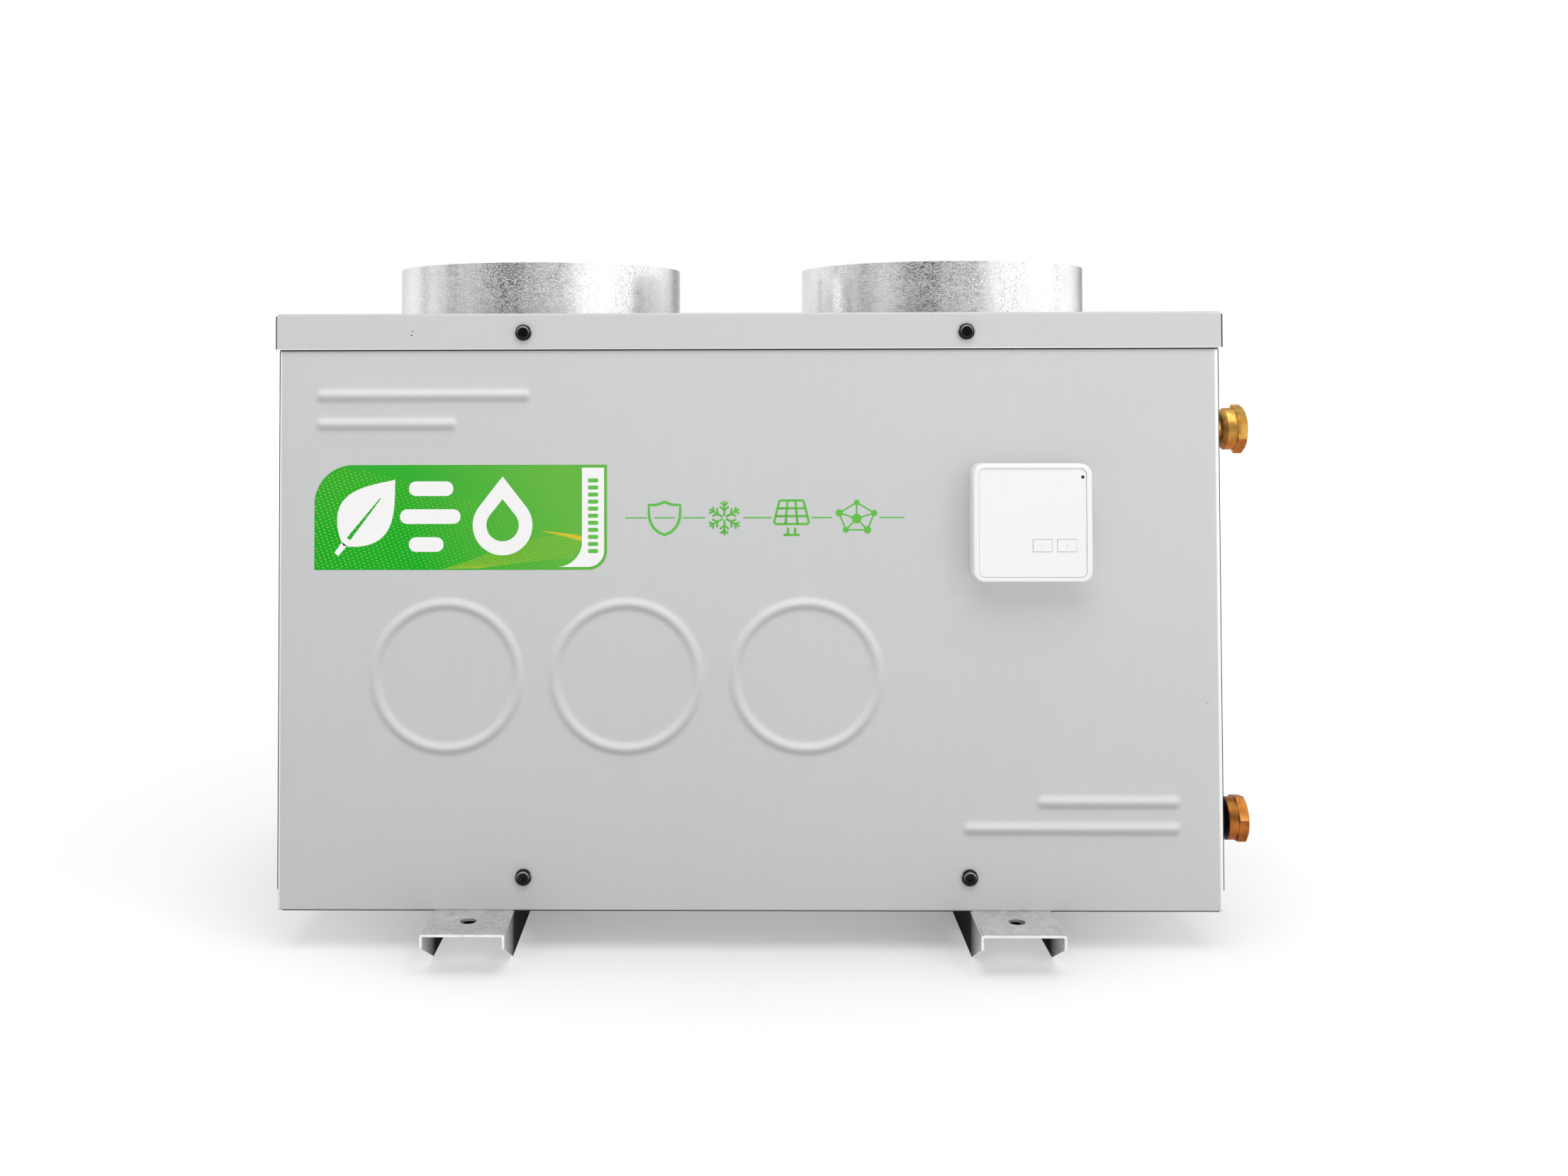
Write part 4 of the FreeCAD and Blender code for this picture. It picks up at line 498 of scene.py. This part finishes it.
def rounded(corners):
    """A polygon of (across, up, radius) corners with each corner rounded off."""
    points = []
    count = len(corners)
    for i, (across, up, radius) in enumerate(corners):
        here = Vector((across, up))
        before = (Vector(corners[i - 1][:2]) - here).normalized()
        after = (Vector(corners[(i + 1) % count][:2]) - here).normalized()
        half = math.acos(max(-1.0, min(1.0, before.dot(after)))) / 2
        reach = radius / math.tan(half)
        start = here + before * reach
        end = here + after * reach
        middle = here + (before + after).normalized() * (radius / math.sin(half))
        steps = max(3, int(radius * 1.5))
        first = start - middle
        turn = first.angle_signed(end - middle)
        for k in range(steps + 1):
            point = middle + Matrix.Rotation(-turn * k / steps, 2) @ first
            points.append((point.x, point.y))
    return points


def on_panel(mesh, lift):
    """Moves a mesh drawn in millimetres on to the front panel, lift millimetres in front of it."""
    place = Matrix.Translation((CENTRE_X, FRONT_Y - lift * MM, 0))
    mesh.transform(place @ Matrix.Diagonal((MM, MM, MM, 1)))


def flat_piece(name, outlines, lift, thick, material, body=CASING):
    """A thin plate on the front panel. An outline inside another one is a hole."""
    data = bpy.data.curves.new(name, "CURVE")
    data.dimensions = "2D"
    data.fill_mode = "BOTH"
    data.extrude = thick / 2
    for outline in outlines:
        spline = data.splines.new("POLY")
        spline.points.add(len(outline) - 1)
        for point, (across, up) in zip(spline.points, outline):
            point.co = (across, up, 0, 1)
        spline.use_cyclic_u = True
    mesh = closed_mesh(data)
    on_panel(mesh, lift + thick / 2)
    return finish_piece(name, mesh, material, body)


def strokes(name, lines, width, lift, material, rise=0.16):
    """Rounded pen strokes, rise thick, along open or closed lines of points on the front panel."""
    data = bpy.data.curves.new(name, "CURVE")
    data.dimensions = "3D"
    data.bevel_depth = width / 2
    data.bevel_resolution = 3
    data.use_fill_caps = True
    for line in lines:
        closed = line[0] == line[-1]
        points = line[:-1] if closed else line
        spline = data.splines.new("POLY")
        spline.points.add(len(points) - 1)
        for point, (across, up) in zip(spline.points, points):
            point.co = (across, up, 0, 1)
        spline.use_cyclic_u = closed
    mesh = closed_mesh(data, rise / width)
    on_panel(mesh, lift)
    finish_piece(name, mesh, material, CASING)
    mesh.shade_smooth()


# ---- front panel ----

# Where the sheet is pressed forward. Beads are (left end, right end, height), rings (middle, height).
BEADS = [(-263.5, -138.0, 341.5), (-263.5, -183.5, 323.7), (180.0, 260.3, 91.7), (134.8, 260.3, 75.6)]
RINGS = [(-186.0, 168.4), (-75.2, 168.4), (35.6, 168.4)]
RING_RADIUS = 44.4
BEAD_HALF = 5.0
RING_HALF = 4.6
SHEET = 1.2
RETURN_DEPTH = 15.0
BEND = 1.6

# The sheet's mesh: its steps, the fine rows along its foot and head, and the spare round a pressing.
COARSE_STEP = 14
FINE_STEP = 1.25
EDGE_ROW = 0.6
SPARE = 0.5


def raised(share):
    """A pressing's rounded section: 1 in its middle, 0 from its edge on."""
    return 0.5 + 0.5 * math.cos(math.pi * share) if share < 1 else 0.0


def pressing(across, up):
    """How far the sheet stands forward at a place on the front panel, in millimetres."""
    best = 0.0
    for left, right, height in BEADS:
        beyond = max(left - across, across - right, 0.0)
        best = max(best, raised(math.hypot(beyond, up - height) / BEAD_HALF))
    for middle, height in RINGS:
        away = abs(math.hypot(across - middle, up - height) - RING_RADIUS)
        best = max(best, raised(away / RING_HALF))
    return best * BEAD_RISE / MM


def grid_lines(low, high, fine_spans):
    """Positions from low to high: fine steps inside the spans and coarse steps between them."""
    marks = {round(low, 3), round(high, 3)}
    for start, end in fine_spans:
        steps = max(1, round((end - start) / FINE_STEP))
        marks.update(round(start + (end - start) * i / steps, 3) for i in range(steps + 1))
    lines = sorted(marks)
    made = [lines[0]]
    for here, after in zip(lines, lines[1:]):
        steps = max(1, math.ceil((after - here) / COARSE_STEP))
        made += [here + (after - here) * i / steps for i in range(1, steps + 1)]
    return made


def pressed_front_panel():
    """The folded front sheet with its softly pressed beads and rings."""
    half = (panel_high.x - panel_low.x) / 2 / MM
    low, high = panel_low.z / MM, panel_high.z / MM
    ring_span = RING_RADIUS + RING_HALF + SPARE
    end_span = BEAD_HALF + SPARE
    bead_ends = sorted({x for left, right, _ in BEADS for x in (left, right)})
    across_spans = [(RINGS[0][0] - ring_span, RINGS[-1][0] + ring_span)]
    across_spans += [(x - end_span, x + end_span) for x in bead_ends]
    up_spans = [(RINGS[0][1] - ring_span, RINGS[0][1] + ring_span)]
    up_spans += [(bead[2] - end_span, bead[2] + end_span) for bead in BEADS]
    up_spans += [(low, low + EDGE_ROW), (high - EDGE_ROW, high)]
    columns = grid_lines(-half + BEND, half - BEND, across_spans)
    rows = grid_lines(low, high, up_spans)
    left_edge = [(-half, RETURN_DEPTH)]
    for angle in (90, 67, 45, 22):
        turn = math.radians(angle)
        left_edge.append((-half + BEND - BEND * math.sin(turn), BEND * (1 - math.cos(turn))))
    right_edge = [(-x, y) for x, y in reversed(left_edge)]
    profile = left_edge + [(x, 0.0) for x in columns] + right_edge
    points = []
    for up in rows:
        for across, back in profile:
            forward = pressing(across, up) if back == 0 else 0.0
            points.append((CENTRE_X + across * MM, FRONT_Y + (back - forward) * MM, up * MM))
    wide = len(profile)
    faces = []
    for r in range(len(rows) - 1):
        for c in range(wide - 1):
            start = r * wide + c
            faces.append((start, start + 1, start + wide + 1, start + wide))
    panel = object_from("front_panel_skin", points, faces, panel_paint, CASING)
    panel.data.shade_smooth()
    thicken = panel.modifiers.new("sheet", "SOLIDIFY")
    thicken.thickness = SHEET * MM
    thicken.offset = -1
    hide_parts("front_panel")


# ---- label ----

# How thick the film is, and the white ink on it.
FILM = 0.16
INK = 0.05
LABEL_LEFT, LABEL_LOW, LABEL_RIGHT, LABEL_HIGH = -268.0, 234.0, -87.0, 298.6
LABEL_CORNER = 24
LABEL_FOOT_CORNER = 11.5
TAB_LEFT, TAB_RIGHT = -102.4, -88.7
TAB_HIGH = LABEL_HIGH - 1.8
TAB_FOOT = LABEL_LOW + 1.7
TAB_CORNER = 10
TAB_SWEEP = 15.5


def label_film():
    outline = rounded([(LABEL_LEFT, LABEL_LOW, 0.4), (LABEL_RIGHT, LABEL_LOW, LABEL_FOOT_CORNER),
                       (LABEL_RIGHT, LABEL_HIGH, 0.4), (LABEL_LEFT, LABEL_HIGH, LABEL_CORNER)])
    film = flat_piece("label_film", [outline], 0.0, FILM, looks["green_label"])
    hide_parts("front_label")


def label_tab():
    """The white strip along the label's right side, which sweeps in at its foot, and its scale bars."""
    thick, bar_half, bar_tall, bar_pitch = 0.04, 3.1, 2.5, 4.35
    outline = [(TAB_LEFT, TAB_HIGH), (TAB_LEFT, TAB_FOOT + TAB_SWEEP)]
    outline += arc(TAB_LEFT - TAB_SWEEP, TAB_FOOT + TAB_SWEEP, TAB_SWEEP, 0, -90)
    outline += arc(TAB_RIGHT - TAB_CORNER, TAB_FOOT + TAB_CORNER, TAB_CORNER, -90, 0)
    outline.append((TAB_RIGHT, TAB_HIGH))
    flat_piece("label_tab", [outline], FILM, thick, ink_white)
    bars = []
    middle = (TAB_LEFT + TAB_RIGHT) / 2
    for i in range(11):
        low = 244.2 + i * bar_pitch
        bars.append(rounded_bar(middle - bar_half, low, middle + bar_half, low + bar_tall, 0.7))
    flat_piece("label_scale", bars, FILM + thick, thick, ink_green)


def leaf(middle, foot, tall, wide):
    """A pointed leaf, its open midrib and its stalk."""
    base = Vector((middle - wide * 0.34, foot + tall * 0.12))
    tip = Vector((middle + wide * 0.46, foot + tall))
    ahead = (tip - base).normalized()
    aside = Vector((-ahead.y, ahead.x))
    left = []
    right = []
    steps = 26
    for i in range(steps + 1):
        share = i / steps
        along = base.lerp(tip, share)
        swell = wide * math.sin(math.pi * share ** 0.8)
        left.append(tuple(along + aside * 0.43 * swell))
        right.append(tuple(along - aside * 0.40 * swell))
    outline = left + right[-2:0:-1]

    def taper(start, start_half, end, end_half):
        return [tuple(start - aside * start_half), tuple(start + aside * start_half),
                tuple(end + aside * end_half), tuple(end - aside * end_half)]

    rib = taper(base.lerp(tip, 0.10), 1.3, base.lerp(tip, 0.72), 0.35)
    stalk = taper(base - ahead * 7, 1.6, base + ahead * 1.2, 1.9)
    return outline, rib, stalk


def drop(middle, low, high, half):
    """A droplet with its point upwards."""
    centre = low + half
    reach = high - centre
    lean = math.degrees(math.asin(half / reach))
    return [(middle, high)] + arc(middle, centre, half, 180 - lean, 360 + lean, 40)


def label_emblems():
    """Three plain white signs: a leaf, moving air and a drop."""
    outline, rib, stalk = leaf(-236.5, 243.5, 46, 40)
    flat_piece("label_leaf", [outline, rib], FILM, INK, ink_white)
    flat_piece("label_leaf_stalk", [stalk], FILM, INK, ink_white)
    tall, radius = 9, 4.4
    streams = ((-209.5, -182.0, 279.5), (-215.0, -177.5, 262.3), (-209.5, -188.0, 245.1))
    bars = [rounded_bar(left, low, right, low + tall, radius) for left, right, low in streams]
    flat_piece("label_air", bars, FILM, INK, ink_white)
    flat_piece("label_drop", [drop(-151.5, 242.9, 291.5, 18.5), drop(-151.5, 251.5, 277.5, 10.0)],
               FILM, INK, ink_white)


def dash(points, faces, across, up, length, width, tilt):
    """Adds one small flat hexagon, closed all round."""
    first = len(points)
    for lift in (FILM, FILM + 0.03):
        for angle in range(0, 360, 60):
            x = length / 2 * math.cos(math.radians(angle))
            z = width / 2 * math.sin(math.radians(angle))
            turned_x = across + x * math.cos(tilt) - z * math.sin(tilt)
            turned_z = up + x * math.sin(tilt) + z * math.cos(tilt)
            points.append((CENTRE_X + turned_x * MM, FRONT_Y - lift * MM, turned_z * MM))
    faces.append(tuple(first + 5 - i for i in range(6)))
    faces.append(tuple(first + 6 + i for i in range(6)))
    for i in range(6):
        after = (i + 1) % 6
        faces.append((first + i, first + after, first + 6 + after, first + 6 + i))


def in_film(across, up, margin):
    """True inside the label's green field, at least margin from its edge."""
    if not LABEL_LEFT + margin < across < TAB_LEFT - margin:
        return False
    if not LABEL_LOW + margin < up < LABEL_HIGH - margin:
        return False
    corner_x, corner_z = LABEL_LEFT + LABEL_CORNER, LABEL_HIGH - LABEL_CORNER
    if across < corner_x and up > corner_z:
        return math.hypot(across - corner_x, up - corner_z) < LABEL_CORNER - margin
    sweep_x, sweep_z = TAB_LEFT - TAB_SWEEP, TAB_FOOT + TAB_SWEEP
    if across > sweep_x and up < sweep_z:
        return math.hypot(across - sweep_x, up - sweep_z) < TAB_SWEEP - margin
    return True


def label_dots():
    """Slanting rows of small yellow dashes below a falling curve, smaller towards the right."""
    pitch, row_rise, row_shift, slant = 3.2, 1.82, 0.73, 0.25
    wide = TAB_LEFT - LABEL_LEFT
    points, faces = [], []
    row = 0
    while row * row_rise < LABEL_HIGH - LABEL_LOW + slant * wide:
        along = (-row * row_shift) % pitch
        while along < wide:
            across = LABEL_LEFT + along
            up = LABEL_LOW + 0.9 + row * row_rise - slant * along
            share = along / 150
            limit = LABEL_HIGH - 0.5 - 42 * share ** 1.6
            if up < limit and in_film(across, up, 0.6):
                fade = max(0.35, 1 - 0.6 * share)
                dash(points, faces, across, up, 1.05 * fade + 0.1, 0.62 * fade, -slant)
            along += pitch
        row += 1
    object_from("label_dots", points, faces, ink_yellow, CASING)


def sweep_line(share):
    """One line of the fan, where it lies on the green field; share is its place in the fan."""
    line = []
    steps = 39
    for k in range(steps + 1):
        t = k / steps
        across = -188 + 86 * t + 20 * share * (1 - t)
        up = 234.6 + (21.5 - 15 * share) * math.sin(t * math.pi / 2) ** 1.2 + 0.4 * share
        if in_film(across, up, 0.5):
            line.append((across, up))
    return line


def label_sweep():
    """Fine lines that fan out towards the label's foot, and an amber band over them."""
    count = 13
    lines = [sweep_line(i / (count - 1)) for i in range(count)]
    lines = [line for line in lines if len(line) > 3]
    strokes("label_sweep", lines, 0.17, FILM + 0.02, ink_yellow, rise=0.05)
    left, long, steps = -127.0, 24.4, 20
    shares = [k / steps for k in range(steps + 1)]
    upper = [(left + long * share, 257.6 - 3.0 * share ** 1.6) for share in shares]
    lower = [(across, up - 0.2 - 2.9 * (across - left) / long) for across, up in reversed(upper)]
    flat_piece("label_sweep_band", [upper + lower], FILM, 0.03, ink_amber)


# ---- pictograms ----

ROW_Z = 265.8


def rule_line():
    """The thin line between the signs, and the dash inside the shield."""
    half = 0.4
    pieces = [(-75.7, -62.3), (-57.6, -45.0), (-40.4, -26.2), (-2.8, 14.6), (39.2, 51.6), (81.0, 96.4)]
    bars = [bar(left, ROW_Z - half, right, ROW_Z + half) for left, right in pieces]
    flat_piece("pictogram_rule", bars, 0.0, 0.06, ink_green)


def shield():
    middle = -51.4
    right = [(2.2, 8.9), (4.8, 8.1), (7.2, 7.9), (9.6, 8.1), (9.7, 3.0),
             (9.3, -0.6), (8.2, -3.8), (6.3, -6.6), (3.6, -8.9)]
    line = [(middle, ROW_Z + 9.9)] + [(middle + x, ROW_Z + z) for x, z in right] + [(middle, ROW_Z - 10.5)]
    mirrored = [(middle - x, ROW_Z + z) for x, z in reversed(right)]
    strokes("pictogram_shield", [line + mirrored + [line[0]]], 1.7, 0.0, ink_green)


def unit(angle):
    return Vector((math.cos(angle), math.sin(angle)))


def snowflake():
    centre, reach = Vector((-14.5, ROW_Z)), 10.6
    lines = []
    for i in range(6):
        angle = math.radians(30 + 60 * i)
        arm = unit(angle)
        lines.append([tuple(centre + arm * 1.2), tuple(centre + arm * reach)])
        for start, length in ((4.6, 3.6), (7.6, 3.0)):
            root = centre + arm * start
            for lean in (-50, 50):
                lines.append([tuple(root), tuple(root + unit(angle + math.radians(lean)) * length)])
    strokes("pictogram_snowflake", lines, 1.3, 0.0, ink_green)


def sun_panel():
    middle = 26.9
    foot, head = ROW_Z - 3.9, ROW_Z + 10.6
    low_half, high_half = 11.0, 7.4
    lines = [rounded([(middle - low_half, foot, 1.4), (middle + low_half, foot, 1.4),
                      (middle + high_half, head, 1.4), (middle - high_half, head, 1.4)])]
    lines[0].append(lines[0][0])
    for share in (1 / 3, 2 / 3):
        half = low_half + (high_half - low_half) * share
        up = foot + (head - foot) * share
        lines.append([(middle - half, up), (middle + half, up)])
        side = 2 * share - 1
        lines.append([(middle + side * low_half, foot), (middle + side * high_half, head)])
    for side in (-2.2, 2.2):
        lines.append([(middle + side, foot - 2.2), (middle + side, ROW_Z - 10.4)])
    lines.append([(middle - 5, ROW_Z - 10.6), (middle + 5, ROW_Z - 10.6)])
    strokes("pictogram_panel", lines, 1.45, 0.0, ink_green)


def network():
    middle, half_wide, half_tall = 67.0, 11.3, 9.3
    ring = []
    for i in range(5):
        node = unit(TURN * i / 5 + 0.31)
        ring.append((middle + half_wide * node.x, ROW_Z + half_tall * node.y))
    centre = (middle, ROW_Z - 0.6)
    lines = [[ring[i], ring[(i + 1) % 5]] for i in range(5)] + [[centre, node] for node in ring]
    strokes("pictogram_links", lines, 1.0, 0.0, ink_green)
    sizes = (1.9, 1.7, 2.2, 1.8, 2.2)
    dots = [arc(x, z, size, 0, 345, 23) for (x, z), size in zip(ring, sizes)]
    dots.append(arc(*centre, 2.9, 0, 345, 23))
    flat_piece("pictogram_nodes", dots, 0.0, 0.17, ink_green)


# ---- controller marks ----

def plus_outline(middle, up, long, thin):
    """A plus sign: one corner of it, turned four times."""
    outline = []
    corner = [(-long, -thin), (-thin, -thin), (-thin, -long)]
    for _ in range(4):
        outline += [(middle + x, up + z) for x, z in corner]
        corner = [(-z, x) for x, z in corner]
    return outline


def key_signs():
    """A minus and a plus on the two keys."""
    long, thin = 0.75, 0.14
    for key, body in (("minus_key", "minus_button"), ("plus_key", "plus_button")):
        low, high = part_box(key)
        middle = (low.x + high.x) / 2 / MM - CENTRE_X / MM
        up = (low.z + high.z) / 2 / MM
        lift = (FRONT_Y - low.y) / MM
        outline = bar(middle - long, up - thin, middle + long, up + thin)
        if key == "plus_key":
            outline = plus_outline(middle, up, long, thin)
        flat_piece(key + "_sign", [outline], lift, 0.03, ink_grey, body)


# ---- union nut threads ----

def nut_thread(nut, body):
    """The internal thread of a union nut: one three-sided ridge wound along its bore."""
    low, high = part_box(nut)
    centre = (low + high) / 2
    pitch = 1.814 * MM
    root, crest = 10.49 * MM, 9.45 * MM
    flank = 0.42 * pitch
    start, end = low.x + 8.2 * MM, high.x - 0.5 * MM
    turns = (end - start) / pitch
    steps_per_turn = 40
    steps = int(turns * steps_per_turn)
    points, faces = [], []
    for i in range(steps + 1):
        angle = TURN * turns * i / steps
        along = start + (end - start) * i / steps
        for radius, shift in ((root, -flank), (crest, 0.0), (root, flank)):
            y = centre.y + radius * math.cos(angle)
            z = centre.z + radius * math.sin(angle)
            points.append((along + shift, y, z))
    for i in range(steps):
        for k in range(3):
            after = (k + 1) % 3
            faces.append((3 * i + k, 3 * i + after, 3 * i + 3 + after, 3 * i + 3 + k))
    faces.append((0, 2, 1))
    faces.append((3 * steps, 3 * steps + 1, 3 * steps + 2))
    object_from(nut + "_thread", points, faces, own_looks[nut], body)


# ---- painted shadow strips ----

# A black strip on the front, used as a painted shadow line.
def shadow_strip(name, outlines, lift, thick):
    flat_piece(name, outlines, lift, thick, looks["black_rubber"])


def edge_shadow_strips():
    """Black strips under and beside the lid's edge and round the front panel: painted shadow lines in the
    gaps.
    """
    half = (panel_high.x - panel_low.x) / 2 / MM
    lid_half = (lid_high.x - lid_low.x) / 2 / MM
    lid_edge = lid_low.z / MM
    foot = panel_low.z / MM
    under_lid = lid_edge - 0.9
    low, high = lid_edge + 0.3, lid_edge + 20.8
    shadow_strip("lid_shadow_strip", [bar(0.4 - half, under_lid, half - 0.4, lid_edge)], 0.0, 0.9)
    shadow_strip("panel_shadow_strip", [bar(3 - half, foot - 0.6, half - 3, foot)], -1.0, 0.7)
    shadow_strip("lid_end_shadow_strips", [bar(-lid_half - 0.8, low, -lid_half, high),
                           bar(lid_half, low, lid_half + 0.9, high)], 0.4, 0.8)
    shadow_strip("panel_side_shadow_strips", [bar(-half - 0.5, foot + 12, -half, under_lid),
                              bar(half, foot + 12, half + 0.5, under_lid)], -2.2, 0.8)


# ---- wear ----

def paint_chips():
    """Tiny dark specks in the paint."""
    sides = 9
    spots = [(-207.1, 381.4, 0.5, 0.7), (-207.8, 378.9, 0.65, 0.6), (281.0, 152.0, 0.45, 0.4)]
    outlines = []
    for across, up, half, squash in spots:
        corners = [unit(TURN * i / sides) for i in range(sides)]
        outlines.append([(across + half * corner.x, up + squash * half * corner.y) for corner in corners])
    flat_piece("lid_chips", outlines[:2], 1.5, 0.03, chip_dark)
    flat_piece("panel_chip", outlines[2:], 0.0, 0.03, chip_dark)


# ---- stage ----

def floor():
    """A pale floor whose glow is painted light: less of it round the body as a painted shadow, a little
    more by the rails' ends, and a painted shadow in its glow and its colour under the rails' holes.
    """
    reach = 60.0
    half_wide, half_deep = 0.28, 0.24
    points = [(-reach, -reach, 0), (reach, -reach, 0), (reach, reach, 0), (-reach, reach, 0)]
    mesh = bpy.data.meshes.new("floor")
    mesh.from_pydata(points, [], [(0, 1, 2, 3)])
    ground = bpy.data.objects.new("floor", mesh)
    bpy.context.scene.collection.objects.link(ground)
    look = Look("pale_floor", roughness=0.9, specular=0.1)
    tone = look.spread(look.noise(3, 2), 0.99, 1.01)
    look.feed("Emission Color", (1, 1, 1, 1))
    beside = look.maths("MULTIPLY", look.axis("X"), 1 / half_wide)
    before = look.maths("MULTIPLY", look.axis("Y"), 1 / half_deep)
    away = look.maths("SQRT", look.maths("ADD", look.maths("MULTIPLY", beside, beside),
                                         look.maths("MULTIPLY", before, before)))
    glow = look.maths("ADD", look.spread(away, 0.26, 0.45, 0.6, 1.5),
                      look.spread(away, 0.0, 0.25, 2.0, 12.0))
    for rail in ("left_foot_rail", "right_foot_rail"):
        rail_low, rail_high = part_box(rail)
        middle = (rail_low.x + rail_high.x) / 2
        # Painted light: more glow by each end of the rail.
        for end in (rail_low.y, rail_high.y):
            end_light = look.maths("MULTIPLY", look.near("X", middle, 36 * MM),
                                look.near("Y", end * 0.74, 42 * MM))
            glow = look.maths("MULTIPLY", glow, look.spread(end_light, 1.0, 1.45))
        # Painted shadow under the rail's holes, in the glow and in the floor's colour.
        outer = look.spread(look.maths("ABSOLUTE", look.axis("Y")), 1.0, 0.0, 108 * MM, 122 * MM)
        hole_shadow = look.maths("MULTIPLY", look.near("X", middle, 24 * MM), outer)
        glow = look.maths("MULTIPLY", glow, look.spread(hole_shadow, 1.0, 0.0))
        tone = look.maths("MULTIPLY", tone, look.spread(hole_shadow, 1.0, 0.03))
    look.shade(srgb(200, 200, 200), tone)
    look.feed("Emission Strength", glow)
    mesh.materials.append(look.material)


# The studio's brightness by bearing in degrees: 0 is in front of the object and 90 on its right.
STUDIO_BANDS = [(-180, 0.85), (-150, 0.7), (-128, 0.82), (-112, 0.86), (-104, 0.45), (-92, 0.72),
                (-80, 0.5), (-70, 0.28), (-56, 0.52), (-46, 0.46), (-36, 0.2), (-24, 0.07),
                (-14, 0.08), (-4, 0.28), (10, 0.36), (20, 0.28), (32, 0.7), (44, 1.0), (118, 1.0),
                (135, 0.7), (150, 0.25), (165, 0.5), (180, 0.9)]
STUDIO_CEILING = (0.5, 0.5, 0.5, 1)
STUDIO_STRENGTH = 1.04


def studio_ramp(tree, bearing):
    """The ramp that turns a bearing in radians into brightness."""
    inputs = {"Value": bearing, "From Min": -math.pi, "From Max": math.pi}
    share = add_node(tree, "ShaderNodeMapRange", inputs).outputs["Result"]
    ramp = add_node(tree, "ShaderNodeValToRGB", {"Fac": share})
    elements = ramp.color_ramp.elements
    while len(elements) > 1:
        elements.remove(elements[-1])
    elements[0].position = 0.0
    elements[0].color = (1, 1, 1, 1)
    for angle, level in STUDIO_BANDS:
        stop = elements.new((angle + 180) / 360)
        stop.color = (level, level, level, 1)
    return ramp.outputs["Color"]


def world():
    """A plain white studio: white to the camera, with lighter and darker sides for the metal to reflect."""
    surround = bpy.data.worlds.new("studio")
    bpy.context.scene.world = surround
    surround.use_nodes = True
    tree = surround.node_tree
    tree.nodes.clear()
    coords = add_node(tree, "ShaderNodeTexCoord", {}).outputs["Generated"]
    parts = add_node(tree, "ShaderNodeSeparateXYZ", {"Vector": coords}).outputs
    forward = add_node(tree, "ShaderNodeMath", {0: parts["Y"], 1: -1}, operation="MULTIPLY").outputs["Value"]
    bearing = add_node(tree, "ShaderNodeMath", {0: parts["X"], 1: forward}, operation="ARCTAN2")
    sides = studio_ramp(tree, bearing.outputs["Value"])
    height = add_node(tree, "ShaderNodeMapRange", {"Value": parts["Z"], "From Min": 0.35, "From Max": 0.75})
    inputs = {"Factor": height.outputs["Result"], MIX_FIRST: sides, MIX_SECOND: STUDIO_CEILING}
    sky = add_node(tree, "ShaderNodeMix", inputs, data_type="RGBA").outputs[MIX_RESULT]
    lighting = add_node(tree, "ShaderNodeBackground", {"Color": sky, "Strength": STUDIO_STRENGTH})
    backdrop = add_node(tree, "ShaderNodeBackground", {"Color": (1, 1, 1, 1)})
    to_camera = add_node(tree, "ShaderNodeLightPath", {}).outputs["Is Camera Ray"]
    inputs = {0: to_camera, 1: lighting.outputs["Background"], 2: backdrop.outputs["Background"]}
    picked = add_node(tree, "ShaderNodeMixShader", inputs).outputs["Shader"]
    add_node(tree, "ShaderNodeOutputWorld", {"Surface": picked})


def aim(thing, place, target):
    thing.location = place
    thing.rotation_euler = (Vector(target) - Vector(place)).to_track_quat("-Z", "Y").to_euler()


def lamp(name, kind, place, target, energy, **settings):
    data = bpy.data.lights.new(name, kind)
    data.energy = energy
    for key, value in settings.items():
        setattr(data, key, value)
    thing = bpy.data.objects.new(name, data)
    bpy.context.scene.collection.objects.link(thing)
    aim(thing, place, target)


def lights():
    middle = (0.0, 0.0, 0.2)
    lamp("sky_panel", "SUN", (0.25, -0.9, 3.0), (0, 0, 0), 1.04, angle=math.radians(62))
    lamp("top_panel", "AREA", (0.1, -0.9, 1.5), middle, 5.6, shape="RECTANGLE", size=1.5, size_y=0.7)
    lamp("key_lamp", "AREA", (1.5, -1.5, 1.2), middle, 2.8, shape="DISK", size=0.3)
    lamp("rim_lamp", "AREA", (-1.3, -1.3, 1.5), middle, 0.8, shape="DISK", size=0.24)


def camera():
    """A camera in front of the casing, turned and leaned a little; its angles are in radians."""
    place = (-0.02035, -1.16863, 0.34908)
    pan, lean, roll = 0.013, 0.02794, 0.00254
    data = bpy.data.cameras.new("camera")
    data.lens = 37.451
    data.shift_x = 0.048
    data.shift_y = -0.16
    data.clip_start = 0.05
    data.clip_end = 200
    thing = bpy.data.objects.new("camera", data)
    bpy.context.scene.collection.objects.link(thing)
    turn = Matrix.Rotation(pan, 4, "Z") @ Matrix.Rotation(lean, 4, "X") @ Matrix.Rotation(roll, 4, "Y")
    level = Matrix.Rotation(math.pi / 2, 4, "X")
    thing.matrix_world = Matrix.Translation(place) @ turn @ level
    bpy.context.scene.camera = thing
    bpy.context.scene.view_settings.view_transform = "Standard"


# ---- build ----

dress_cad_nodes()
pressed_front_panel()
label_film()
label_tab()
label_emblems()
label_dots()
label_sweep()
rule_line()
shield()
snowflake()
sun_panel()
network()
key_signs()
nut_thread("upper_union_nut", "upper_nut")
nut_thread("lower_union_nut", "lower_nut")
edge_shadow_strips()
paint_chips()
floor()
world()
lights()
camera()
